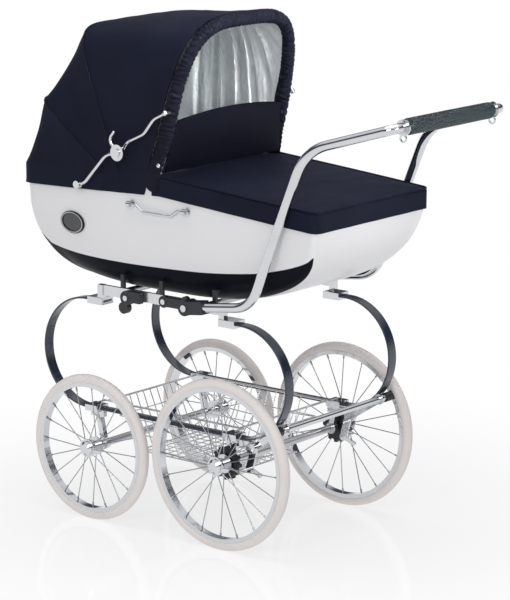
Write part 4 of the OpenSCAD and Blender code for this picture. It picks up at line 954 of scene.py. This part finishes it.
class PRAM_OT_finishes(bpy.types.Operator):
    """Gives every piece of the frame its finish."""

    bl_idname = "pram.finishes"
    bl_label = "Finishes"

    def execute(self, context):
        make_finishes()
        slots = {entry["node"]: entry["material_slot"] for entry in frame["record"]["subparts"]}
        for name, piece in frame["nodes"].items():
            finish = FINISH_OF_SLOT.get(slots.get(name))
            if finish is None:
                raise RuntimeError(f"{name} has no finish for slot {slots.get(name)}")
            if name.startswith("spokes"):
                finish = FINISH_OF_SLOT["spoke"]
            piece.data.materials.clear()
            piece.data.materials.append(finish)
        return {"FINISHED"}


class PRAM_OT_tub(bpy.types.Operator):
    """Builds the tub's smooth painted hull."""

    bl_idname = "pram.tub"
    bl_label = "Tub"

    def execute(self, context):
        wall = settings("tub").wall
        outer = np.concatenate([
            np.linspace(1, 0.981, 5), np.linspace(0.975, 0.86, 10), np.linspace(0.845, 0.29, 26),
            np.linspace(0.27, 0.012, 8),
        ])
        lip = ((0.004, 0.1), (0, 0.35), (0, 0.65), (0.004, 0.9))
        inner = np.concatenate([np.linspace(0.012, 0.3, 6), np.linspace(0.33, 1, 22)])
        rings = []
        masks = []

        def lay(share, off, lift, painted):
            line, past = whole_outline(share, off)
            z = depth_z(share, line[:, 0]) + lift
            rings.append(np.column_stack([line, z]))
            place = (line[:, 0] - TUB_X) / TUB_HALF_L
            edge = RIM_Z - TUB_DEPTH * eased(BAND_PLACE_SHARES, BAND_DEPTH_SHARES, place)
            masks.append(np.minimum(edge - z, past) if painted else np.full(len(line), -1.0))

        for share in outer:
            lay(share, 0, 0, True)
        for share, across in lip:
            lay(share, -wall * across, 0, False)
        for share in inner:
            lay(share, -wall, wall * min(1, share * 4), False)
        made = loft_object("tub_hull", rings)
        band = made.data.attributes.new("band", "FLOAT", "POINT")
        band.data.foreach_set("value", np.concatenate(masks).astype(np.float32))
        dress(made, "tub_shell")
        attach(made, "carrycot")
        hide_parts("tub")
        return {"FINISHED"}


class PRAM_OT_mattress(bpy.types.Operator):
    """Builds the mattress with a rounded edge and quilted lines."""

    bl_idname = "pram.mattress"
    bl_label = "Mattress"

    def execute(self, context):
        low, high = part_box("mattress")
        lowest_share, room, rounding, quilt_pitch, quilt_depth = 0.74, 0.01, 0.012, 38, 0.004
        line, _ = whole_outline(min((RIM_Z - low.z) / TUB_DEPTH, lowest_share), -room)
        thick = high.z - low.z
        centre = np.array([TUB_X, 0])
        inward = unit(centre - line)
        rings = []
        for t in np.linspace(-1, 1, 13):
            pull = rounding * (1 - math.sqrt(max(0.0, 1 - abs(t) ** 3)))
            level = low.z + thick * 0.42 * (t + 1)
            rings.append(np.column_stack([line + inward * pull, np.full(len(line), level)]))
        edge = rings[-1]
        for share in (0.05, 0.12, 0.22, 0.34, 0.48, 0.62, 0.76, 0.88, 0.97):
            flat = edge[:, :2] * (1 - share) + centre * share
            along, across = (flat * quilt_pitch).T
            quilt = np.sqrt(np.abs(np.sin(along + across) * np.sin(along - across)))
            rise = thick * 0.13 * smooth(share * 3) + quilt_depth * quilt * smooth(share * 8)
            rings.append(np.column_stack([flat, edge[:, 2] + rise]))
        made = loft_object("mattress_pad", rings)
        dress(made, "mattress")
        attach(made, "carrycot")
        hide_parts("mattress")
        return {"FINISHED"}


class PRAM_OT_hood(bpy.types.Operator):
    """Builds the hood's outer cloth over its bows, with a welt along two of them."""

    bl_idname = "pram.hood"
    bl_label = "Hood cloth"

    def execute(self, context):
        for k in range(len(SPANS)):
            hood_cloth(k, 22, 121)
        for k, (name, body) in enumerate((("hood_welt_rear", "hood_rear"), ("hood_welt_middle", "hood_mid"))):
            line = arch_line(k, 361, -0.001)
            welt = loft_object(name, tube_rings(line, square_to(bow(k)[0]), 0.0014, 0.002, 10))
            dress(welt, "binding")
            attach(welt, body)
        return {"FINISHED"}


class PRAM_OT_binding(bpy.types.Operator):
    """Builds the gathered binding round the hood's opening, and the press stud on its foot."""

    bl_idname = "pram.binding"
    bl_label = "Binding"

    def path(self, group, steps):
        """The binding's middle line: round the opening, and a little way down over the rim at each foot."""
        forward, foot_forward, tail_length, proud = 0.0145, 0.0045, 0.03, 0.0005
        outer = arch_line(FRONT, 801, -proud, forward)
        inner = arch_line(FRONT, 801, group.binding_depth / 2 - 0.003, forward)
        rise = (outer[:, 2] - RIM_Z)[:, None]
        line = outer + (inner - outer) * smooth((rise - 0.004) / 0.09)
        ahead = foot_forward * (1 - smooth((rise - 0.08) / 0.2))
        line = line + ahead * square_to(group.front_angle)
        tail = np.linspace(tail_length, 0.0, 12)[:-1]
        foot = line[0] + np.column_stack([-0.2 * tail, 0 * tail - proud, -tail])
        line = np.concatenate([foot, line, (foot * [1, -1, 1])[::-1]])
        return resample(relaxed(line, 12), steps)

    def execute(self, context):
        group = settings("hood")
        steps, sides = 1260, 24
        gather_depth, rounded_end, foot_broader = 0.36, 0.008, 0.005
        path = self.path(group, steps)
        share = np.linspace(0, 1, steps)
        run = np.minimum(share, 1 - share) * run_along(path)[-1]
        rng = np.random.default_rng(7)
        width = rng.uniform(0.6, 1.4, group.gathers)
        knots = np.concatenate([[0], np.cumsum(width)]) / width.sum()
        turn = round_turn(sides)
        sway = np.array([
            [noise.noise(Vector((s * 40, math.cos(a) * 0.9, math.sin(a) * 0.9))) for a in turn]
            for s in share])
        at = np.clip(share[:, None] + sway * 0.006, 0, 1)
        phase = np.interp(at, knots, np.arange(len(knots)))
        deep = rng.uniform(0.55, 1.0, group.gathers + 1)
        strength = np.interp(phase, np.arange(len(deep)), deep)
        pucker = np.abs(np.sin(math.pi * phase)) ** 0.7
        swell = 1 + strength * (pucker - 0.62) * gather_depth
        swell *= 1 + np.array([noise.noise(Vector((s * 17, 3.1, 0))) for s in share])[:, None] * 0.12
        rise = (path[:, 2] - RIM_Z)[:, None]
        slim = 0.24 + 0.76 * smooth((rise - 0.015) / 0.1)
        broad = foot_broader * (1 - smooth((rise - 0.08) / 0.2))
        rings = tube_rings(
            path, square_to(group.front_angle), group.binding_depth / 2 * swell * slim,
            (group.binding_width / 2 + broad) * (0.5 + 0.5 * swell), sides)
        tip = np.clip(run / rounded_end, 0.05, 1)[:, None, None] ** 0.5
        rings = path[:, None] + (rings - path[:, None]) * tip
        made = loft_object("hood_binding", rings, sharp=80)
        dress(made, "binding")
        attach(made, "hood_edge")
        self.popper()
        return {"FINISHED"}

    def popper(self):
        """A press stud on the binding's left foot."""
        radius, height, proud, forward, above = 0.0052, 0.003, 0.0055, 0.101, 0.029
        turn = round_turn(24)
        rings = []
        for tilt in np.linspace(0, math.pi / 2, 7):
            size = radius * math.cos(tilt) + 0.0002
            rings.append(np.column_stack([
                HOOD_PIVOT.x + forward + size * np.cos(turn),
                np.full(len(turn), -TUB_HALF_W - proud - height * math.sin(tilt)),
                RIM_Z + above + size * np.sin(turn)]))
        made = loft_object("hood_popper", rings)
        dress(made, "chrome")
        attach(made, "hood_edge")


class PRAM_OT_lining(bpy.types.Operator):
    """Builds the pale gathered lining inside the hood."""

    bl_idname = "pram.lining"
    bl_label = "Lining"

    def execute(self, context):
        for k, cols in enumerate((361, 241, 241)):
            lining_span(k, 60, cols)
        return {"FINISHED"}


class PRAM_OT_apron(bpy.types.Operator):
    """Builds the padded apron with its skirt and piped top edge."""

    bl_idname = "pram.apron"
    bl_label = "Apron"

    def execute(self, context):
        group = settings("apron")
        skirt_out, wave_depth, cover_thick = 0.0037, 0.0011, 0.003
        lid_up, spine_short = 0.0033, 0.17
        piping_out, piping_up, piping_r = 0.0016, 0.0012, 0.0022
        front = TUB_X + group.front

        def outline(off):
            return half_outline(1, front, 0, off, side=60, corner=15, across=30)[0]

        edge = outline(CLOTH_OUT)
        count = len(edge)
        spine = np.column_stack([
            np.clip(edge[:, 0], front, TUB_X + TUB_HALF_L - spine_short), np.zeros(count)])
        side = outline(skirt_out)
        away = unit(side - spine)
        depths = np.linspace(group.skirt, 0.0, 12)
        lid_shares = np.concatenate([np.linspace(0.006, 0.1, 6), np.linspace(0.14, 1, 22)])
        rows = []
        for depth in depths:
            wave = np.abs(wave_depth * np.sin(np.arange(count) * 0.21) * depth / group.skirt)
            ring = side - away * wave[:, None]
            rows.append(np.column_stack([ring, rim_height(ring[:, 0]) - depth]))
        for share in lid_shares:
            ring = edge + (spine - edge) * share
            rise = group.crown * (1 - (1 - share) ** 3.2) + lid_up * min(1, share / 0.02)
            end = smooth((ring[:, 0] - front) / 0.05)
            rows.append(np.column_stack([ring, rim_height(ring[:, 0]) + rise * (0.35 + 0.65 * end)]))
        grid = np.stack(rows)
        soft = ripple(grid * [1.0, 1.0, 0.2], 9.0, 0.0022) + ripple(grid * [2.6, 1.0, 0.2], 13.0, 0.0012)
        lid = np.concatenate([np.zeros(len(depths)), smooth(np.linspace(0, 4, len(lid_shares)))])
        grid[..., 2] += soft * lid[:, None]
        cover = sheet_object("apron_cover", grid, cover_thick, 1)
        welt = np.column_stack([outline(piping_out), rim_height(edge[:, 0]) + lid_up + piping_up])
        piping = loft_object(
            "apron_piping", tube_rings(resample(welt, 420), (0, 0, 1), piping_r, piping_r, 10))
        made = joined("apron_cover", [cover, piping])
        dress(made, "navy_cloth")
        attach(made, "carrycot")
        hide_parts("apron")
        return {"FINISHED"}


class PRAM_OT_windbreak(bpy.types.Operator):
    """Builds the padded windbreak that stands on the apron's front edge."""

    bl_idname = "pram.windbreak"
    bl_label = "Windbreak"

    def execute(self, context):
        group = settings("apron")
        cols, rows = 81, 30
        foot_share, top_share, bulge, crown = 0.972, 0.858, 0.006, 0.014
        edge_thick, filling, border, overlap = 0.0026, 0.003, 0.022, 0.002
        welt_r, seam_r = 0.0028, 0.003
        height = group.windbreak_height
        u = np.linspace(-1, 1, cols)[None, :]
        v = np.linspace(0, 1, rows)[:, None]
        half = TUB_HALF_W * (foot_share + (top_share - foot_share) * v)
        x = SEAM.x + 0.001 + group.windbreak_lean * v ** 0.9 + bulge * (1 - u * u) * v
        y = half * u
        z = SEAM.z + height * v + crown * (1 - u * u) * v
        grid = np.stack([np.broadcast_to(a, (rows, cols)) for a in (x, y, z)], axis=2)
        normal = grid_normals(grid)
        if normal[..., 0].mean() < 0:
            normal = -normal
        inside = np.minimum(
            np.minimum((1 - np.abs(u)) * half, (1 - v) * height), v * height * 0.5 + overlap)
        puff = (edge_thick + filling * smooth(inside / border))[..., None]
        wide = grid.copy()
        wide[..., 1] += overlap * u
        wide[..., 2] += overlap * (2 * v - 1)
        pad = two_faced("windbreak_pad", wide + normal * puff, wide - normal * puff * 0.8, grid)
        loop = np.concatenate([grid[:, 0], grid[-1, 1:], grid[-2::-1, -1]])
        puffed(pad, 0.004, 0.005, (1, 2), np.concatenate([loop, grid[0]]))
        welt = loft_object(
            "windbreak_welt", tube_rings(resample(loop, 300), (1, 0, 0), welt_r, welt_r, 10))
        across = np.linspace(-1, 1, 60) * TUB_HALF_W * foot_share
        line = np.column_stack([np.full(60, SEAM.x), across, np.full(60, SEAM.z)])
        seam = loft_object("windbreak_seam", tube_rings(line, (0, 0, 1), seam_r, seam_r, 12))
        made = joined("windbreak_pad", [pad, welt, seam])
        # The windbreak's finish is darkened cloth: painted shade
        dress(made, "windbreak")
        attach(made, "windbreak_flap")
        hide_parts("windbreak")
        return {"FINISHED"}


class PRAM_OT_springs(bpy.types.Operator):
    """Builds the two leaf springs, which give between the frames."""

    bl_idname = "pram.springs"
    bl_label = "Leaf springs"

    def execute(self, context):
        group = settings("chassis")
        low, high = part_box("leaf_springs")
        rails_low, rails_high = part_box("side_rails")
        middle = (low.x + high.x) / 2
        radius = (high.z - low.z - group.strip_thick) / 2
        reach = (high.x - low.x) / 2 - radius - group.strip_thick / 2
        level = (low.z + high.z) / 2
        mouth = (rails_high.x - rails_low.x) / 2
        turn = np.linspace(-math.pi / 2, math.pi / 2, 60)
        bend = np.column_stack([reach + radius * np.cos(turn), level + radius * np.sin(turn)])
        top = np.column_stack([np.linspace(reach, mouth, 8)[1:], np.full(7, level + radius)])
        run = np.column_stack([np.linspace(0, reach, 30, endpoint=False), np.full(30, level - radius)])
        half = np.concatenate([run, bend, top])
        line = np.concatenate([(half * [-1, 1])[:0:-1], half])
        turn = round_turn(28)
        wide = np.sign(np.cos(turn)) * np.abs(np.cos(turn)) ** 0.16 * group.strip_width / 2
        thick = np.sign(np.sin(turn)) * np.abs(np.sin(turn)) ** 0.3 * group.strip_thick / 2
        across = np.array([0, 1, 0])
        pieces = []
        for side in (-1, 1):
            y = side * (high.y - group.strip_width / 2)
            path = np.column_stack([middle + line[:, 0], np.full(len(line), y), line[:, 1]])
            up = np.cross(unit(np.gradient(path, axis=0)), across)
            rings = path[:, None] + across * wide[None, :, None] + up[:, None] * thick[None, :, None]
            pieces.append(loft_object("leaf_spring", rings, sharp=40))
        made = joined("leaf_spring_pair", pieces)
        dress(made, "spring_paint")
        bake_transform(made)
        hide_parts("leaf_springs")
        return {"FINISHED"}


class PRAM_OT_grip(bpy.types.Operator):
    """Builds the stitched leather grip of the handle."""

    bl_idname = "pram.grip"
    bl_label = "Grip"

    def execute(self, context):
        low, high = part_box("handle_grip")
        centre = (low + high) / 2
        radius = (high.z - low.z) / 2
        half = (high.y - low.y) / 2
        rounding, end_share, seam_at, seam_width, seam_depth = 0.012, 0.68, 1.9, 0.045, 0.0011
        turn = round_turn(72)
        end = rounding * (1 - np.cos(np.linspace(0, math.pi / 2, 9)))
        body = np.linspace(-half + 0.016, half - 0.016, 70)
        seam = np.exp(-(np.angle(np.exp(1j * (turn + seam_at))) / seam_width) ** 2)
        rings = []
        for y in np.concatenate([-half + end, body, half - end[::-1]]):
            inset = np.clip((half - abs(y)) / rounding, 0, 1)
            rounded = end_share + (1 - end_share) * math.sqrt(1 - (1 - inset) ** 2)
            swell = 1 + 0.012 * math.cos(y / half * 2.2)
            lump = np.array([
                noise.noise(Vector((math.cos(a) * 1.4, y * 22, math.sin(a) * 1.4))) for a in turn])
            ring = radius * rounded * swell * (1 + lump * 0.012) - seam_depth * seam
            rings.append(np.column_stack([
                centre.x + ring * np.cos(turn), np.full(len(turn), centre.y + y),
                centre.z + ring * np.sin(turn)]))
        made = loft_object("grip_cover", rings)
        dress(made, "grip_leather")
        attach(made, "handle")
        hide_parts("handle_grip")
        return {"FINISHED"}


class PRAM_OT_stage(bpy.types.Operator):
    """Sets up the floor, the light and the camera."""

    bl_idname = "pram.stage"
    bl_label = "Stage"

    def execute(self, context):
        group = settings("stage")
        scene = context.scene
        scene.view_settings.view_transform = "Standard"
        self.floor(scene, group)
        self.room(scene, group)
        self.lamps(scene, group)
        self.camera(scene, group)
        return {"FINISHED"}

    def floor(self, scene, group):
        """Pale glossy paper that keeps the shadow near the pram and fades to white away from it."""
        size = 60.0
        mesh = bpy.data.meshes.new("floor")
        corners = [(-size, -size, 0), (size, -size, 0), (size, size, 0), (-size, size, 0)]
        mesh.from_pydata(corners, [], [(0, 1, 2, 3)])
        floor = bpy.data.objects.new("floor", mesh)
        scene.collection.objects.link(floor)
        paper, start, give = new_finish("floor_paper", Specular_IOR_Level=0.7)
        place = object_place(start)
        cloud = grain(place, 1.2, 2.0)
        give("Base Color", shaded(cloud, group.floor_colour, 0.995, 1.005))
        give("Roughness", 0.05 + cloud * 0.04)
        tree = paper.node_tree
        shader = next(n for n in tree.nodes if n.type == "BSDF_PRINCIPLED")
        output = next(n for n in tree.nodes if n.type == "OUTPUT_MATERIAL")
        away = place.node("ShaderNodeVectorMath", {0: place}, out="Value", operation="LENGTH")
        glow = start.node("ShaderNodeEmission", {"Color": WHITE, "Strength": 1.0})
        fade = 0.72 + ramp(away, 0.4, 1.4) * 0.28
        shown = start.node("ShaderNodeMixShader", {0: fade, 1: Flow(tree, shader.outputs[0]), 2: glow})
        tree.links.new(shown.socket, output.inputs["Surface"])
        mesh.materials.append(paper)

    def room(self, scene, group):
        """White to the camera, even light on the pram, and a dark and light room in its plating."""
        world = scene.world or bpy.data.worlds.new("studio")
        scene.world = world
        world.use_nodes = True
        tree = world.node_tree
        tree.nodes.clear()
        start = Flow(tree)
        seen, glossy, through = [
            start.node("ShaderNodeLightPath", out=f"Is {kind} Ray")
            for kind in ("Camera", "Glossy", "Transmission")]
        mirrored = start.node("ShaderNodeMath", {0: glossy + through, 1: 1.0}, operation="MINIMUM")
        up = axes(start.node("ShaderNodeTexCoord", out="Generated"))[2]
        sky = start.node("ShaderNodeValToRGB", {"Fac": up}, stops=[
            (0.0, (0.8, 0.8, 0.8, 1)), (0.08, (0.6, 0.6, 0.61, 1)), (0.2, (0.05, 0.055, 0.065, 1)),
            (0.44, (0.07, 0.075, 0.09, 1)), (0.6, (0.85, 0.86, 0.88, 1)), (1.0, WHITE)])
        ambient, mirror, white = [
            start.node("ShaderNodeBackground", {"Color": colour, "Strength": strength})
            for colour, strength in ((WHITE, group.ambient), (sky, 1.0), (WHITE, 1.0))]
        lit = start.node("ShaderNodeMixShader", {0: mirrored, 1: ambient, 2: mirror})
        mix = start.node("ShaderNodeMixShader", {0: seen, 1: lit, 2: white})
        output = tree.nodes.new("ShaderNodeOutputWorld")
        tree.links.new(mix.socket, output.inputs["Surface"])

    def lamps(self, scene, group):
        """Soft lamps: name, place, what it is turned to, size, power and spread in degrees."""
        for name, spot, target, lamp_size, power, spread in (
            ("key", (1.6, -4.2, 2.7), (0.0, 0.0, 0.6), (2.4, 1.8), group.key_power, 180),
            ("fill", (4.2, -1.0, 2.2), (0.0, 0.0, 0.6), (1.8, 1.8), group.fill_power, 180),
            ("top", (0.0, 0.0, 4.5), (0.0, 0.0, 0.0), (4.0, 4.0), group.top_power, 180),
            ("hood", (2.0, -0.1, 1.5), (-0.25, 0.0, 1.12), (0.6, 0.6), group.hood_power, 26),
        ):
            data = bpy.data.lights.new(name, "AREA")
            data.shape = "RECTANGLE"
            data.size, data.size_y = lamp_size
            data.energy = power
            data.spread = math.radians(spread)
            lamp = bpy.data.objects.new(name, data)
            lamp.location = spot
            lamp.rotation_mode = "QUATERNION"
            lamp.rotation_quaternion = (Vector(target) - Vector(spot)).to_track_quat("-Z", "Y")
            scene.collection.objects.link(lamp)

    def camera(self, scene, group):
        data = bpy.data.cameras.new("camera")
        data.lens = group.camera_lens
        data.sensor_width = 36
        data.clip_end = 100
        camera = bpy.data.objects.new("camera", data)
        a, e = group.camera_azimuth, group.camera_pitch
        back = Vector((math.sin(a) * math.cos(e), -math.cos(a) * math.cos(e), math.sin(e)))
        camera.rotation_mode = "QUATERNION"
        camera.location = group.camera_place
        camera.rotation_quaternion = (-back).to_track_quat("-Z", "Y")
        scene.collection.objects.link(camera)
        scene.camera = camera


OPERATORS = (
    PRAM_OT_finishes, PRAM_OT_tub, PRAM_OT_mattress, PRAM_OT_hood, PRAM_OT_binding, PRAM_OT_lining,
    PRAM_OT_apron, PRAM_OT_windbreak, PRAM_OT_springs, PRAM_OT_grip, PRAM_OT_stage,
)
GROUPS = {
    "tub": TubSettings, "hood": HoodSettings, "apron": ApronSettings, "chassis": ChassisSettings,
    "stage": StageSettings,
}


class PRAM_PT_panel(bpy.types.Panel):
    """Lists the pram's building steps and its settings."""

    bl_label = "Pram"
    bl_idname = "PRAM_PT_panel"
    bl_space_type = "VIEW_3D"
    bl_region_type = "UI"
    bl_category = "Pram"

    def draw(self, context):
        for kind in OPERATORS:
            self.layout.operator(kind.bl_idname)
        for name, group in GROUPS.items():
            for key in group.__annotations__:
                self.layout.prop(settings(name), key)


def register():
    for group in GROUPS.values():
        bpy.utils.register_class(group)
    for name, group in GROUPS.items():
        setattr(bpy.types.Scene, "pram_" + name, PointerProperty(type=group))
    for kind in OPERATORS:
        bpy.utils.register_class(kind)
    bpy.utils.register_class(PRAM_PT_panel)


def unregister():
    bpy.utils.unregister_class(PRAM_PT_panel)
    for kind in reversed(OPERATORS):
        bpy.utils.unregister_class(kind)
    for name, group in GROUPS.items():
        delattr(bpy.types.Scene, "pram_" + name)
        bpy.utils.unregister_class(group)


def main():
    register()
    for kind in OPERATORS:
        group, name = kind.bl_idname.split(".")
        getattr(getattr(bpy.ops, group), name)()


if __name__ == "__main__":
    main()
